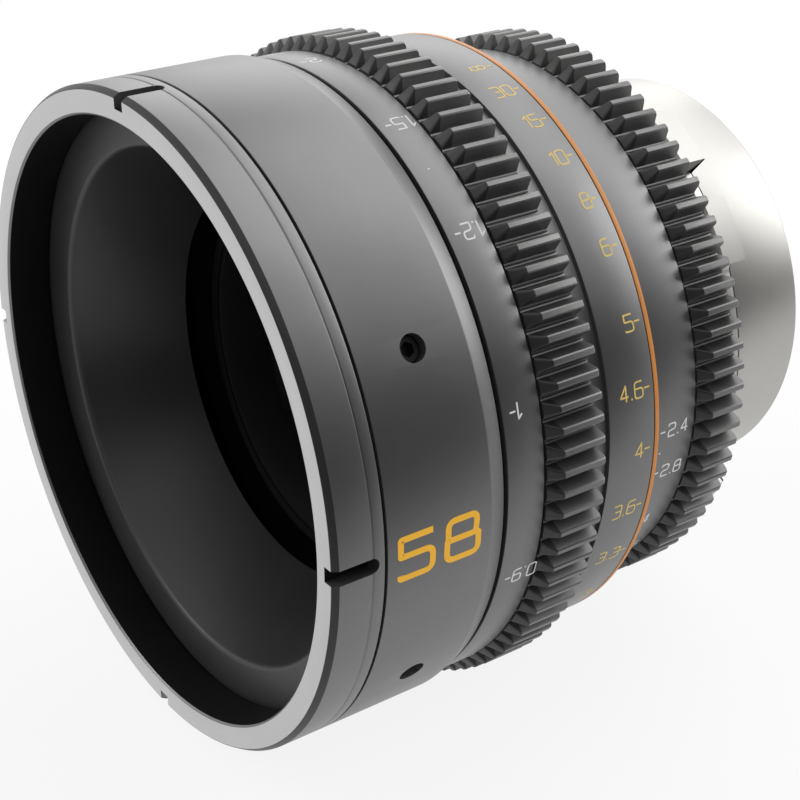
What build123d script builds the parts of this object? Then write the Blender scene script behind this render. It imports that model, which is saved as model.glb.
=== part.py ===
from build123d import *
import math
import os

# A cinema prime lens with a four-wing bayonet mount. Millimetres.
# The optical axis is Y, the front faces -Y and +Z is up. The origin lies on the axis, in the
# plane of the mount's seat. A station is a distance ahead of that plane, so it lies at Y = -station.
# An angle round the axis is counted from +X towards +Z.
# The lens stands at its rest pose: focus near the middle of its throw, iris wide open.

os.makedirs("parts", exist_ok=True)

# Fits shared by all pieces
slide_clearance = 0.05
seat_clearance = 0.03
face_clearance = 0.1
hole_clearance = 0.05
overrun = 1.0
edge_break = 0.2

# Mount: everything round it is carried outward from the throat
throat_radius = 27.0
throat_wall = 2.4
throat_chamfer = 0.4
seat_width = 3.75
wing_height = 3.25
wing_thickness = 4.0
wing_count = 4
wing_span_angle = 36.0
wing_first_angle = 45.0
wing_slot_width = 5.1
wing_fillet = 1.2
wing_edge_break = 0.3
shim_thickness = 0.2
shim_overhang = 0.9

# Small countersunk screws, in the mount and in the rear cell
mount_screw_count = 8
mount_screw_first_angle = 22.5
small_screw_radius = 0.8
small_screw_head_share = 0.4
small_screw_recess = 0.1
small_screw_socket_radius = 0.45
small_screw_socket_depth = 0.5
small_screw_bite = 3.3
small_screw_tip_room = 0.5

# Main barrel
barrel_bore_inset = 0.35
barrel_rear_wall = 2.95
barrel_bore_step = 2.6
barrel_front_wall = 3.0
barrel_flange_width = 4.4
barrel_flange_thickness = 4.8
barrel_lip_length = 0.8
iris_shoulder_depth = 1.6

# Iris ring and its gear band
iris_ring_wall = 1.8
iris_ring_length = 15.9
iris_gear_seat_wall = 0.8
iris_gear_width = 6.4
iris_gear_rear_step = 0.3

# Index ring, as large round as the rear of the focus ring
index_ring_thickness = 0.6

# Focus ring, its gear band and its front scale sleeve
focus_rear_wall = 2.55
focus_rear_length = 6.8
focus_groove_wall = 1.85
focus_groove_width = 2.4
focus_gear_seat_wall = 1.95
focus_gear_width = 7.2
scale_sleeve_wall = 1.2
scale_sleeve_length = 5.3

# Gear teeth: a band has as many as its seat needs for the least rim under them
gear_module = 0.8
gear_least_rim = 0.75
pressure_angle = 20.0
tooth_addendum_share = 1.0
tooth_dedendum_share = 1.25
tooth_root_dip_share = 0.15
gear_edge_break = 0.25
tooth_bevel_length = 1.2

# Focus travel, in degrees of the ring and millimetres of the front cell
focus_to_infinity_angle = 77.6
focus_to_close_angle = 92.4
focus_cell_travel = 5.0
follower_radius = 1.0
follower_depth = 1.0
follower_count = 3
follower_first_angle = 90.0
follower_lead = 10.1
follower_tip_clearance = 0.1
groove_end_margin = 0.4
stop_pin_radius = 1.0
stop_pin_angle = 20.0
stop_pin_setback = 2.5

# Focus retainer
retainer_wall = 2.3
retainer_length = 3.0
spanner_slot_width = 1.6
spanner_slot_depth = 1.0

# Front barrel
front_barrel_wall = 4.0
barrel_gap = 0.7
rear_bevel_length = 2.2
rear_bevel_drop = 0.7
set_screw_radius = 1.5
set_screw_setback = 7.1
set_screw_angles = (30.0, -30.0, 150.0, 210.0)
set_screw_sink = 1.1
set_screw_groove_depth = 0.8
set_screw_socket_radius = 0.85
set_screw_socket_depth = 1.2

# Filter ring
filter_seam = 0.1
filter_ring_length = 6.4
filter_wall = 3.4
filter_spigot_inset = 1.4
filter_spigot_length = 1.6
filter_thread_length = 5.5
filter_relief_depth = 0.4
filter_relief_width = 0.5
filter_edge_drop = 0.45
filter_edge_length = 0.7
filter_mouth_chamfer = 0.35
notch_count = 4
notch_width = 1.8
notch_length = 5.6
notch_depth = 1.7

# Front baffle: a cone from inside the filter ring back to the front cell
baffle_mouth_inset = 1.2
baffle_ledge_slope = 0.4
baffle_taper = 6.8
baffle_length = 13.4
baffle_wall = 1.1

# Front cell, stacked forward from the iris
cell_rear_gap = 0.8
cell_gap = 1.0
cell_sleeve_wall = 2.95
cell_web_thickness = 3.0
cell_web_setback = 7.0
cell_front_tube_wall = 1.4
cell_rear_tube_wall = 2.2
cell_shoulder_thickness = 1.0
cell_shoulder_width = 1.1
glass_contact_width = 0.9
front_retainer_wall = 1.7
front_retainer_lip = 0.8
front_retainer_recess = 0.2
retainer_step = 0.35
front_glass_setback = 5.5
cement_gap = 0.02

# Glass: how far the rims lie inside their carriers, the least thickness of each element
# (at its rim or at its centre) and the radii of curvature. A positive curvature bulges forward.
front_element_inset = 8.5
front_element_rim = 2.5
front_element_front_curve = 45.0
front_element_rear_curve = 120.0
front_air_gap = 0.53
second_element_inset = 3.5
second_element_rim = 0.7
second_element_front_curve = 30.0
front_cement_curve = 200.0
third_element_centre = 0.943
third_element_rear_curve = 36.0
third_element_flat = 3.5
front_spacer_lip = 2.1
rear_glass_inset = 8.1
fourth_element_inset = 2.0
fourth_element_centre = 0.872
fourth_element_front_curve = -30.0
fourth_element_flat = 1.5
rear_cement_curve = 80.0
fifth_element_rim = 2.2
fifth_element_rear_curve = -32.0
rear_air_gap = 2.5
sixth_element_rim = 2.2
sixth_element_front_curve = 80.0
sixth_element_rear_curve = -50.0
rear_spacer_lip = 0.6

# Iris housing, stacked rearward from the shoulder in the barrel
iris_housing_wall = 2.77
iris_base_thickness = 1.5
iris_base_clearance = 0.1
iris_cam_thickness = 2.9
iris_cam_bore_step = 1.0
iris_retainer_thickness = 1.4
iris_retainer_bore_step = 0.5
iris_flange_thickness = 1.4
clamp_ring_width = 1.97
clamp_ring_thickness = 1.5

# Iris blades: a curved leaf on a pivot pin, with a cam pin on a tail
blade_count = 9
blade_thickness = 0.1
blade_pitch = 0.15
blade_pivot_inset = 5.1
blade_leaf_inset = 2.6
blade_leaf_width = 7.0
blade_span_angle = 105.0
blade_heel_angle = 4.0
blade_tip_radius = 1.2
blade_eye_radius = 1.4
blade_pin_radius = 0.5
tail_length = 7.8
tail_open_drop = 0.66
tail_eye_radius = 1.15
blade_turn_angle = 29.6
iris_turn_angle = 66.0
cam_groove_depth = 1.1
cam_path_steps = 8
cam_path_overrun_share = 0.015
drive_pin_radius = 0.8
drive_pin_angle = 150.0
drive_pin_depth = 0.85
drive_pin_recess = 0.1
drive_slot_margin = 0.1

# Rear cell
rear_cell_lead = 0.6
rear_cell_flange_inset = 0.9
rear_cell_flange_thickness = 2.0
rear_cell_lip = 0.45
rear_cell_tail = 4.2
rear_retainer_wall = 0.7
rear_retainer_lip = 0.8
rear_cell_tube_wall = 2.8
rear_screw_count = 3
rear_screw_inset = 1.9

# Rear baffle, in a pocket at the rear of the throat
rear_pocket_step = 1.0
rear_pocket_depth = 1.1
rear_baffle_recess = 0.2
rear_baffle_mouth_inset = 1.1
rear_baffle_length = 5.4
rear_baffle_gap = 0.9
rear_baffle_taper = 5.9
rear_baffle_wall = 1.0


def sag(curve, radius):
    """How far a spherical face falls back from its apex at a radius. Negative curves face rearward."""
    depth = abs(curve) - math.sqrt(curve * curve - radius * radius)
    return math.copysign(depth, curve)


# Radii, worked outward from the throat
throat_bore = throat_radius - throat_wall
mount_base_radius = throat_radius + seat_width
wing_radius = mount_base_radius + wing_height
mount_screw_circle_radius = (throat_radius + mount_base_radius) / 2
small_screw_head_radius = seat_width * small_screw_head_share
barrel_rear_bore = mount_base_radius - barrel_bore_inset
barrel_rear_radius = barrel_rear_bore + barrel_rear_wall
barrel_front_bore = barrel_rear_bore + barrel_bore_step
barrel_front_radius = barrel_front_bore + barrel_front_wall
barrel_flange_bore = barrel_rear_bore - barrel_flange_width
iris_bore = barrel_rear_radius + slide_clearance
iris_ring_radius = iris_bore + iris_ring_wall
iris_gear_seat_radius = iris_bore + iris_gear_seat_wall
focus_bore = barrel_front_radius + slide_clearance
focus_rear_radius = focus_bore + focus_rear_wall
focus_groove_radius = focus_bore + focus_groove_wall
focus_gear_seat_radius = focus_bore + focus_gear_seat_wall
scale_sleeve_radius = focus_gear_seat_radius + scale_sleeve_wall
retainer_radius = barrel_front_radius + retainer_wall
front_radius = barrel_front_radius + front_barrel_wall
filter_bore = front_radius - filter_wall
filter_relief_radius = filter_bore + filter_relief_depth
filter_spigot_radius = front_radius - filter_spigot_inset
baffle_mouth_radius = barrel_front_bore - baffle_mouth_inset
baffle_throat_radius = baffle_mouth_radius - baffle_taper
cell_radius = barrel_front_bore - slide_clearance
cell_sleeve_bore = cell_radius - cell_sleeve_wall
front_element_radius = cell_sleeve_bore - front_element_inset
second_element_radius = front_element_radius - second_element_inset
front_retainer_radius = front_element_radius + front_retainer_wall
cell_front_tube_radius = front_retainer_radius + cell_front_tube_wall
cell_rear_tube_radius = second_element_radius + cell_rear_tube_wall
sixth_element_radius = throat_bore - rear_glass_inset
fourth_element_radius = sixth_element_radius - fourth_element_inset
rear_retainer_radius = sixth_element_radius + rear_retainer_wall
rear_cell_tube_radius = rear_retainer_radius + rear_cell_tube_wall
rear_cell_flange_radius = barrel_rear_bore - rear_cell_flange_inset
rear_screw_circle_radius = barrel_flange_bore + rear_screw_inset
housing_body_radius = barrel_rear_bore - seat_clearance
housing_flange_radius = barrel_front_bore - seat_clearance
iris_housing_bore = housing_body_radius - iris_housing_wall
pivot_circle_radius = iris_housing_bore - blade_pivot_inset
tail_open_radius = pivot_circle_radius - tail_open_drop
blade_outer_radius = pivot_circle_radius - blade_leaf_inset
blade_inner_radius = blade_outer_radius - blade_leaf_width
iris_base_bore = blade_inner_radius + iris_base_clearance
iris_cam_bore = iris_base_bore + iris_cam_bore_step
iris_retainer_bore = iris_cam_bore + iris_retainer_bore_step
cam_ring_radius = iris_housing_bore - slide_clearance
rear_pocket_radius = throat_bore + rear_pocket_step

# Focus motion
focus_throw_angle = focus_to_infinity_angle + focus_to_close_angle
lift_per_degree = focus_cell_travel / focus_throw_angle
travel_to_close = focus_to_close_angle * lift_per_degree
travel_to_infinity = focus_to_infinity_angle * lift_per_degree
follower_tip_radius = barrel_front_radius + follower_depth - follower_tip_clearance

# Stations of the barrel and the rings, from the seat forward
barrel_start = wing_thickness + shim_thickness
iris_ring_start = barrel_start + barrel_lip_length
iris_gear_start = iris_ring_start + iris_gear_rear_step
iris_gear_end = iris_gear_start + iris_gear_width
iris_ring_end = iris_ring_start + iris_ring_length
index_start = iris_ring_end + face_clearance
index_end = index_start + index_ring_thickness
focus_start = index_end + face_clearance
focus_groove_start = focus_start + focus_rear_length
focus_gear_start = focus_groove_start + focus_groove_width
focus_gear_end = focus_gear_start + focus_gear_width
scale_sleeve_start = focus_gear_end + face_clearance
focus_end = scale_sleeve_start + scale_sleeve_length
stop_station = focus_end - stop_pin_setback
follower_station = focus_start + follower_lead
retainer_start = focus_end + face_clearance
retainer_end = retainer_start + retainer_length
front_barrel_start = focus_end + barrel_gap
barrel_flange_end = barrel_start + barrel_flange_thickness
rear_flange_front = barrel_flange_end + rear_cell_flange_thickness

# Stations of the iris stack, from the shoulder in the barrel
blade_space = 2 * face_clearance + (blade_count - 1) * blade_pitch + blade_thickness
iris_shoulder = index_end - iris_shoulder_depth
iris_flange_front = iris_shoulder + iris_flange_thickness
iris_retainer_front = iris_flange_front - face_clearance
iris_retainer_rear = iris_retainer_front - iris_retainer_thickness
cam_front = iris_retainer_rear - face_clearance
cam_rear = cam_front - iris_cam_thickness
iris_base_front = cam_rear - blade_space
iris_housing_rear = iris_base_front - iris_base_thickness
clamp_ring_front = iris_flange_front + clamp_ring_thickness
drive_station = (cam_rear + cam_front) / 2

# Stations of the front cell and its glass, from the iris forward
front_clear = front_element_radius - glass_contact_width
second_clear = second_element_radius - glass_contact_width
third_clear = second_element_radius - third_element_flat
front_cement_sag = sag(front_cement_curve, second_element_radius)
third_element_rim = third_element_centre - front_cement_sag
third_element_rim += sag(third_element_rear_curve, third_clear)
front_spacer_length = front_air_gap + sag(second_element_front_curve, second_clear)
front_spacer_length -= sag(front_element_rear_curve, front_clear)
cell_rear = clamp_ring_front + travel_to_infinity + cell_rear_gap
third_element_rear = cell_rear + cell_shoulder_thickness
third_element_front = third_element_rear + third_element_rim
second_element_rear = third_element_front + cement_gap
second_element_front = second_element_rear + second_element_rim
front_element_rear = second_element_front + front_spacer_length
front_element_front = front_element_rear + front_element_rim
cell_step = second_element_front + front_spacer_lip
cell_front = front_element_front + front_glass_setback
cell_web_front = cell_front - cell_web_setback
cell_web_rear = cell_web_front - cell_web_thickness

# Stations of the front baffle, the front barrel and the filter ring
baffle_rear = cell_front + travel_to_close + cell_gap
filter_ring_start = baffle_rear + baffle_length
front_barrel_end = filter_ring_start - filter_seam
front_face = filter_ring_start + filter_ring_length
spigot_start = filter_ring_start - filter_spigot_length
barrel_end = spigot_start - face_clearance
thread_end = front_face - filter_thread_length
baffle_ledge = thread_end - filter_relief_width
set_screw_station = front_barrel_end - set_screw_setback

# Stations of the rear cell, its glass and the end of the throat, from the iris rearward
fourth_clear = fourth_element_radius - fourth_element_flat
fifth_clear = fourth_element_radius - glass_contact_width
sixth_clear = sixth_element_radius - glass_contact_width
rear_cement_sag = sag(rear_cement_curve, fourth_element_radius)
fourth_element_rim = fourth_element_centre + rear_cement_sag
fourth_element_rim -= sag(fourth_element_front_curve, fourth_clear)
rear_spacer_length = rear_air_gap + sag(sixth_element_front_curve, sixth_clear)
rear_spacer_length -= sag(fifth_element_rear_curve, fifth_clear)
rear_cell_front = iris_housing_rear - rear_cell_lead
fourth_element_front = rear_cell_front - rear_cell_lip
fourth_element_rear = fourth_element_front - fourth_element_rim
fifth_element_front = fourth_element_rear - cement_gap
fifth_element_rear = fifth_element_front - fifth_element_rim
sixth_element_front = fifth_element_rear - rear_spacer_length
sixth_element_rear = sixth_element_front - sixth_element_rim
rear_step = sixth_element_front + rear_spacer_lip
rear_cell_rear = sixth_element_rear - rear_cell_tail
rear_baffle_front = rear_cell_rear - rear_baffle_gap
rear_baffle_rear = rear_baffle_front - rear_baffle_length
throat_rear = rear_baffle_rear - rear_baffle_recess
pocket_end = throat_rear + rear_pocket_depth


def turned(outline):
    """A solid of revolution about the optical axis, from (station, radius) points."""
    points = [(radius, -station) for station, radius in outline]
    return revolve(make_face(Polyline(*points, close=True)), Axis.Y)


def ring(rear, front, inner, outer):
    return turned([(rear, inner), (rear, outer), (front, outer), (front, inner)])


def axial_plane(station):
    """A plane across the axis that faces forward, with its own x and y along X and Z."""
    return Plane(origin=(0, -station, 0), x_dir=(1, 0, 0), z_dir=(0, -1, 0))


def prism(sketch, rear, front):
    return extrude(axial_plane(rear) * sketch, amount=front - rear)


def polar(radius, angle):
    return (radius * math.cos(math.radians(angle)), radius * math.sin(math.radians(angle)))


def radial_pin(angle, station, radius, inner, outer):
    direction = (math.cos(math.radians(angle)), 0, math.sin(math.radians(angle)))
    plane = Plane(origin=(0, -station, 0), x_dir=(0, 1, 0), z_dir=direction)
    pin = Cylinder(radius, outer - inner, align=(Align.CENTER, Align.CENTER, Align.MIN))
    return plane * Pos(0, 0, inner) * pin


def sector(inner, outer, start_angle, end_angle):
    """A flat sector of a ring between two angles."""
    middle_angle = (start_angle + end_angle) / 2
    outer_arc = ThreePointArc(polar(outer, start_angle), polar(outer, middle_angle), polar(outer, end_angle))
    inner_arc = ThreePointArc(polar(inner, end_angle), polar(inner, middle_angle), polar(inner, start_angle))
    first_side = Line(inner_arc @ 1, outer_arc @ 0)
    second_side = Line(outer_arc @ 1, inner_arc @ 0)
    return make_face([first_side, outer_arc, second_side, inner_arc])


def arc_slot(station, width, inner, outer, start_angle, end_angle):
    """A cutter for a slot that runs round the axis at one station."""
    return prism(sector(inner, outer, start_angle, end_angle), station - width / 2, station + width / 2)


def angle_of(length, radius):
    """The angle that a length spans at a radius."""
    return math.degrees(math.asin(length / radius))


def glass(rim_front, rim_rear, rim, front_curve, front_clear, rear_curve, rear_clear):
    """A lens element. Each face is spherical out to its clear radius and flat from there to the rim."""
    front_apex = rim_front + sag(front_curve, front_clear)
    rear_apex = rim_rear + sag(rear_curve, rear_clear)
    front_middle = front_apex - sag(front_curve, front_clear / 2)
    rear_middle = rear_apex - sag(rear_curve, rear_clear / 2)
    front_arc = ThreePointArc((0, -front_apex), (front_clear / 2, -front_middle), (front_clear, -rim_front))
    rear_arc = ThreePointArc((rear_clear, -rim_rear), (rear_clear / 2, -rear_middle), (0, -rear_apex))
    edges = [front_arc]
    if front_clear < rim:
        edges.append(Line(front_arc @ 1, (rim, -rim_front)))
    edges.append(Line((rim, -rim_front), (rim, -rim_rear)))
    if rear_clear < rim:
        edges.append(Line((rim, -rim_rear), rear_arc @ 0))
    edges.append(rear_arc)
    edges.append(Line(rear_arc @ 1, front_arc @ 0))
    return revolve(make_face(edges), Axis.Y)


def countersunk_screw(length):
    """A countersunk screw along +Z with the top of its head at zero."""
    cone = small_screw_head_radius - small_screw_radius
    points = [
        (0, 0),
        (small_screw_head_radius, 0),
        (small_screw_radius, cone),
        (small_screw_radius, length),
        (0, length),
    ]
    body = revolve(make_face(Polyline(*points, close=True)), Axis.Y)
    socket = extrude(
        Plane(origin=(0, 0, 0), x_dir=(1, 0, 0), z_dir=(0, 1, 0))
        * RegularPolygon(small_screw_socket_radius, 6),
        amount=small_screw_socket_depth,
    )
    return Rot(90, 0, 0) * (body - socket)


def countersunk_hole(length):
    """The cutter for one countersunk screw, with hole_clearance all round."""
    cone = small_screw_head_radius - small_screw_radius
    head = small_screw_head_radius + hole_clearance
    shank = small_screw_radius + hole_clearance
    points = [
        (0, -overrun),
        (head, -overrun),
        (head, 0),
        (shank, cone),
        (shank, length),
        (0, length),
    ]
    return Rot(90, 0, 0) * revolve(make_face(Polyline(*points, close=True)), Axis.Y)


def place(solid, station, angle, radius, forward=True):
    """Stands a solid made along +Z at a point off the axis, pointing forward or rearward."""
    x, z = polar(radius, angle)
    direction = (0, -1, 0) if forward else (0, 1, 0)
    plane = Plane(origin=(x, -station, z), x_dir=(1, 0, 0), z_dir=direction)
    return plane * solid


def spread(count, first_angle):
    return [first_angle + 360 * index / count for index in range(count)]


def gear_band(seat, rear, front):
    """A ring with straight teeth, bevelled at the front, with a rounded bottom between each two."""
    least_root = seat + gear_least_rim
    teeth = math.ceil(2 * (least_root / gear_module + tooth_dedendum_share))
    pitch_radius = gear_module * teeth / 2
    tip = pitch_radius + gear_module * tooth_addendum_share
    root = pitch_radius - gear_module * tooth_dedendum_share
    root_dip = gear_module * tooth_root_dip_share
    flank_slope = math.tan(math.radians(pressure_angle))
    half_tooth = math.pi * gear_module / 4
    tip_half = half_tooth - (tip - pitch_radius) * flank_slope
    root_half = half_tooth + (pitch_radius - root) * flank_slope
    step = 360 / teeth
    edges = []
    for index in range(teeth):
        centre = index * step
        low_left = polar(root, centre - angle_of(root_half, root))
        high_left = polar(tip, centre - angle_of(tip_half, tip))
        high_right = polar(tip, centre + angle_of(tip_half, tip))
        low_right = polar(root, centre + angle_of(root_half, root))
        dip = polar(root - root_dip, centre + step / 2)
        next_left = polar(root, centre + step - angle_of(root_half, root))
        edges.append(Line(low_left, high_left))
        edges.append(Line(high_left, high_right))
        edges.append(Line(high_right, low_right))
        edges.append(ThreePointArc(low_right, dip, next_left))
    band = prism(make_face(edges) - Circle(seat + seat_clearance), rear, front)
    envelope = turned(
        [
            (rear, 0),
            (rear, tip - gear_edge_break),
            (rear + gear_edge_break, tip + gear_edge_break),
            (front - tooth_bevel_length, tip + gear_edge_break),
            (front - tooth_bevel_length, tip),
            (front, root + gear_edge_break),
            (front, 0),
        ]
    )
    return band & envelope


def save(node, shape):
    export_step(shape, "parts/" + node + ".step")


def group(solids):
    return Compound(children=[solid for solid in solids])


# Lens mount: throat, seat, base ring and four slotted wings
wing_half = wing_span_angle / 2
mount_plan = Circle(mount_base_radius)
wing_angles = spread(wing_count, wing_first_angle)
for angle in wing_angles:
    mount_plan += sector(throat_radius, wing_radius, angle - wing_half, angle + wing_half)
wing_slot_cut = Rectangle(
    wing_radius + overrun - mount_base_radius, wing_slot_width, align=(Align.MIN, Align.CENTER)
)
for angle in wing_angles:
    mount_plan -= Rot(0, 0, angle) * Pos(mount_base_radius, 0) * wing_slot_cut
wing_corners = []
for corner in mount_plan.vertices():
    corner_angle = math.degrees(math.atan2(corner.Y, corner.X))
    offset = min(abs((corner_angle - angle + 180) % 360 - 180) for angle in wing_angles)
    at_base = abs(math.hypot(corner.X, corner.Y) - mount_base_radius) < edge_break
    if at_base and offset > wing_half / 2:
        wing_corners.append(corner)
mount_plan = fillet(wing_corners, wing_fillet)
wing_envelope = turned(
    [
        (0, 0),
        (0, wing_radius - wing_edge_break),
        (wing_edge_break, wing_radius),
        (wing_thickness - wing_edge_break, wing_radius),
        (wing_thickness, wing_radius - wing_edge_break),
        (wing_thickness, 0),
    ]
)
wings = prism(mount_plan, 0, wing_thickness) & wing_envelope
throat = turned(
    [
        (throat_rear, 0),
        (throat_rear, throat_radius - throat_chamfer),
        (throat_rear + throat_chamfer, throat_radius),
        (wing_thickness, throat_radius),
        (wing_thickness, 0),
    ]
)
lens_mount = wings + throat
lens_mount -= ring(throat_rear - overrun, wing_thickness + overrun, 0, throat_bore)
lens_mount -= ring(throat_rear - overrun, pocket_end, 0, rear_pocket_radius)
mount_screw_length = barrel_start - small_screw_recess + small_screw_bite
mount_screw_angles = spread(mount_screw_count, mount_screw_first_angle)
for angle in mount_screw_angles:
    hole = countersunk_hole(mount_screw_length)
    lens_mount -= place(hole, small_screw_recess, angle, mount_screw_circle_radius)
save("lens_mount", lens_mount)

mount_screw = countersunk_screw(mount_screw_length)
save(
    "mount_screws",
    group(
        [
            place(mount_screw, small_screw_recess, angle, mount_screw_circle_radius)
            for angle in mount_screw_angles
        ]
    ),
)

# Shim between the mount and the barrel
screw_hole = Circle(small_screw_radius + hole_clearance)
shim_plan = Circle(mount_base_radius - slide_clearance) - Circle(throat_radius - shim_overhang)
for angle in mount_screw_angles:
    shim_plan -= Pos(*polar(mount_screw_circle_radius, angle)) * screw_hole
save("flange_shim", prism(shim_plan, wing_thickness, barrel_start))

# Main barrel
groove_floor = barrel_front_radius - set_screw_groove_depth
groove_half = set_screw_radius + hole_clearance
main_barrel = turned(
    [
        (barrel_start, barrel_flange_bore),
        (barrel_start, mount_base_radius),
        (iris_ring_start, mount_base_radius),
        (iris_ring_start, barrel_rear_radius),
        (index_end, barrel_rear_radius),
        (index_end, barrel_front_radius),
        (set_screw_station - groove_half - set_screw_groove_depth, barrel_front_radius),
        (set_screw_station - groove_half, groove_floor),
        (set_screw_station + groove_half, groove_floor),
        (set_screw_station + groove_half + set_screw_groove_depth, barrel_front_radius),
        (barrel_end, barrel_front_radius),
        (barrel_end, barrel_front_bore),
        (iris_shoulder, barrel_front_bore),
        (iris_shoulder, barrel_rear_bore),
        (barrel_flange_end, barrel_rear_bore),
        (barrel_flange_end, barrel_flange_bore),
    ]
)
follower_angles = spread(follower_count, follower_first_angle)
slot_rear = follower_station - travel_to_infinity - follower_radius - groove_end_margin
slot_front = follower_station + travel_to_close + follower_radius + groove_end_margin
slot_width = 2 * (follower_radius + slide_clearance)
for angle in follower_angles:
    slot = Box(barrel_front_radius, slot_width, slot_front - slot_rear)
    slot_place = axial_plane((slot_rear + slot_front) / 2)
    slot_place *= Rot(0, 0, angle) * Pos(barrel_front_radius, 0, 0)
    main_barrel -= slot_place * slot
stop_pin_hole = radial_pin(
    stop_pin_angle,
    stop_station,
    stop_pin_radius + seat_clearance,
    barrel_rear_bore,
    barrel_front_radius + overrun,
)
main_barrel -= stop_pin_hole
for angle in mount_screw_angles:
    hole = Cylinder(
        small_screw_radius + seat_clearance,
        small_screw_bite + small_screw_tip_room,
        align=(Align.CENTER, Align.CENTER, Align.MIN),
    )
    main_barrel -= place(hole, barrel_start, angle, mount_screw_circle_radius)
rear_screw_angles = spread(rear_screw_count, 0)
rear_screw_length = rear_cell_flange_thickness - small_screw_recess + small_screw_bite
rear_screw_top = rear_flange_front - small_screw_recess
for angle in rear_screw_angles:
    hole = Cylinder(
        small_screw_radius + seat_clearance,
        rear_screw_length + small_screw_tip_room,
        align=(Align.CENTER, Align.CENTER, Align.MIN),
    )
    main_barrel -= place(hole, rear_flange_front, angle, rear_screw_circle_radius, forward=False)

# The slot for the pin that drives the iris, cut through the barrel and the iris housing alike
drive_slot_width = 2 * (drive_pin_radius + slide_clearance)
drive_margin = angle_of(drive_pin_radius + drive_slot_margin, iris_housing_bore)
drive_slot = arc_slot(
    drive_station,
    drive_slot_width,
    iris_housing_bore - overrun,
    barrel_rear_radius + overrun,
    drive_pin_angle - drive_margin,
    drive_pin_angle + iris_turn_angle + drive_margin,
)
main_barrel -= drive_slot
save("main_barrel", main_barrel)

# Iris housing and the rings that close and hold it
iris_housing = turned(
    [
        (iris_housing_rear, iris_base_bore),
        (iris_housing_rear, housing_body_radius),
        (iris_shoulder, housing_body_radius),
        (iris_shoulder, housing_flange_radius),
        (iris_flange_front, housing_flange_radius),
        (iris_flange_front, iris_housing_bore),
        (iris_base_front, iris_housing_bore),
        (iris_base_front, iris_base_bore),
    ]
)
blade_angles = spread(blade_count, 0)
pivot_hole = Circle(blade_pin_radius + hole_clearance)
pivot_holes = Sketch() + [Pos(*polar(pivot_circle_radius, angle)) * pivot_hole for angle in blade_angles]
iris_housing -= prism(pivot_holes, iris_housing_rear - overrun, iris_base_front + overrun)
iris_housing -= drive_slot
save("iris_housing", iris_housing)

iris_retaining_ring = ring(
    iris_retainer_rear, iris_retainer_front, iris_retainer_bore, iris_housing_bore - seat_clearance
)
spanner_slot = Box(2 * housing_flange_radius, spanner_slot_width, 2 * spanner_slot_depth)
retaining_slot = Box(2 * iris_cam_bore + 2 * spanner_slot_width, spanner_slot_width, iris_retainer_thickness)
iris_retaining_ring -= axial_plane(iris_retainer_front) * retaining_slot
save("iris_retaining_ring", iris_retaining_ring)

clamp_ring_bore = housing_flange_radius - clamp_ring_width
iris_clamp_ring = ring(iris_flange_front, clamp_ring_front, clamp_ring_bore, housing_flange_radius)
iris_clamp_ring -= axial_plane(clamp_ring_front) * spanner_slot
save("iris_clamp_ring", iris_clamp_ring)

# Iris blades and the cam ring that drives them
tail_cosine = pivot_circle_radius**2 + tail_open_radius**2 - tail_length**2
tail_cosine /= 2 * pivot_circle_radius * tail_open_radius
tail_angle = -math.degrees(math.acos(tail_cosine))
tail_point = polar(tail_open_radius, tail_angle)


def turned_about_pivot(point, angle):
    """A point of a blade, in the blade's own frame, after it has turned about its pivot."""
    x = point[0] - pivot_circle_radius
    y = point[1]
    cosine = math.cos(math.radians(angle))
    sine = math.sin(math.radians(angle))
    return (pivot_circle_radius + x * cosine - y * sine, x * sine + y * cosine)


def cam_point(turn_share):
    """Where a cam pin stands in the cam ring's own frame at a share of the ring's turn."""
    x, y = turned_about_pivot(tail_point, blade_turn_angle * turn_share)
    angle = math.degrees(math.atan2(y, x)) - iris_turn_angle * turn_share
    return polar(math.hypot(x, y), angle)


blade_middle = (blade_inner_radius + blade_outer_radius) / 2
leaf = sector(blade_inner_radius, blade_outer_radius, -blade_heel_angle, blade_span_angle)
tip_corners = leaf.vertices().sort_by_distance(polar(blade_middle, blade_span_angle))[:2]
leaf = fillet(tip_corners, blade_tip_radius)
pivot_eye = Pos(pivot_circle_radius, 0) * Circle(blade_eye_radius)
tail_eye = Pos(*tail_point) * Circle(tail_eye_radius)
heel_eye = Pos(blade_outer_radius - blade_eye_radius, 0) * Circle(blade_eye_radius)
neck = make_hull(pivot_eye.edges() + heel_eye.edges())
tail = make_hull(pivot_eye.edges() + tail_eye.edges())
blade_plan = leaf + neck + tail
blade_pin = Circle(blade_pin_radius)
cam_pin_front = cam_rear + cam_groove_depth - face_clearance
pivot_pin_rear = iris_housing_rear + edge_break
for index, angle in enumerate(blade_angles):
    rear = iris_base_front + face_clearance + index * blade_pitch
    front = rear + blade_thickness
    blade = prism(Rot(0, 0, angle) * blade_plan, rear, front)
    blade += prism(Rot(0, 0, angle) * Pos(pivot_circle_radius, 0) * blade_pin, pivot_pin_rear, front)
    blade += prism(Rot(0, 0, angle) * Pos(*tail_point) * blade_pin, rear, cam_pin_front)
    save("iris_blade_" + str(index + 1), blade)

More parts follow.
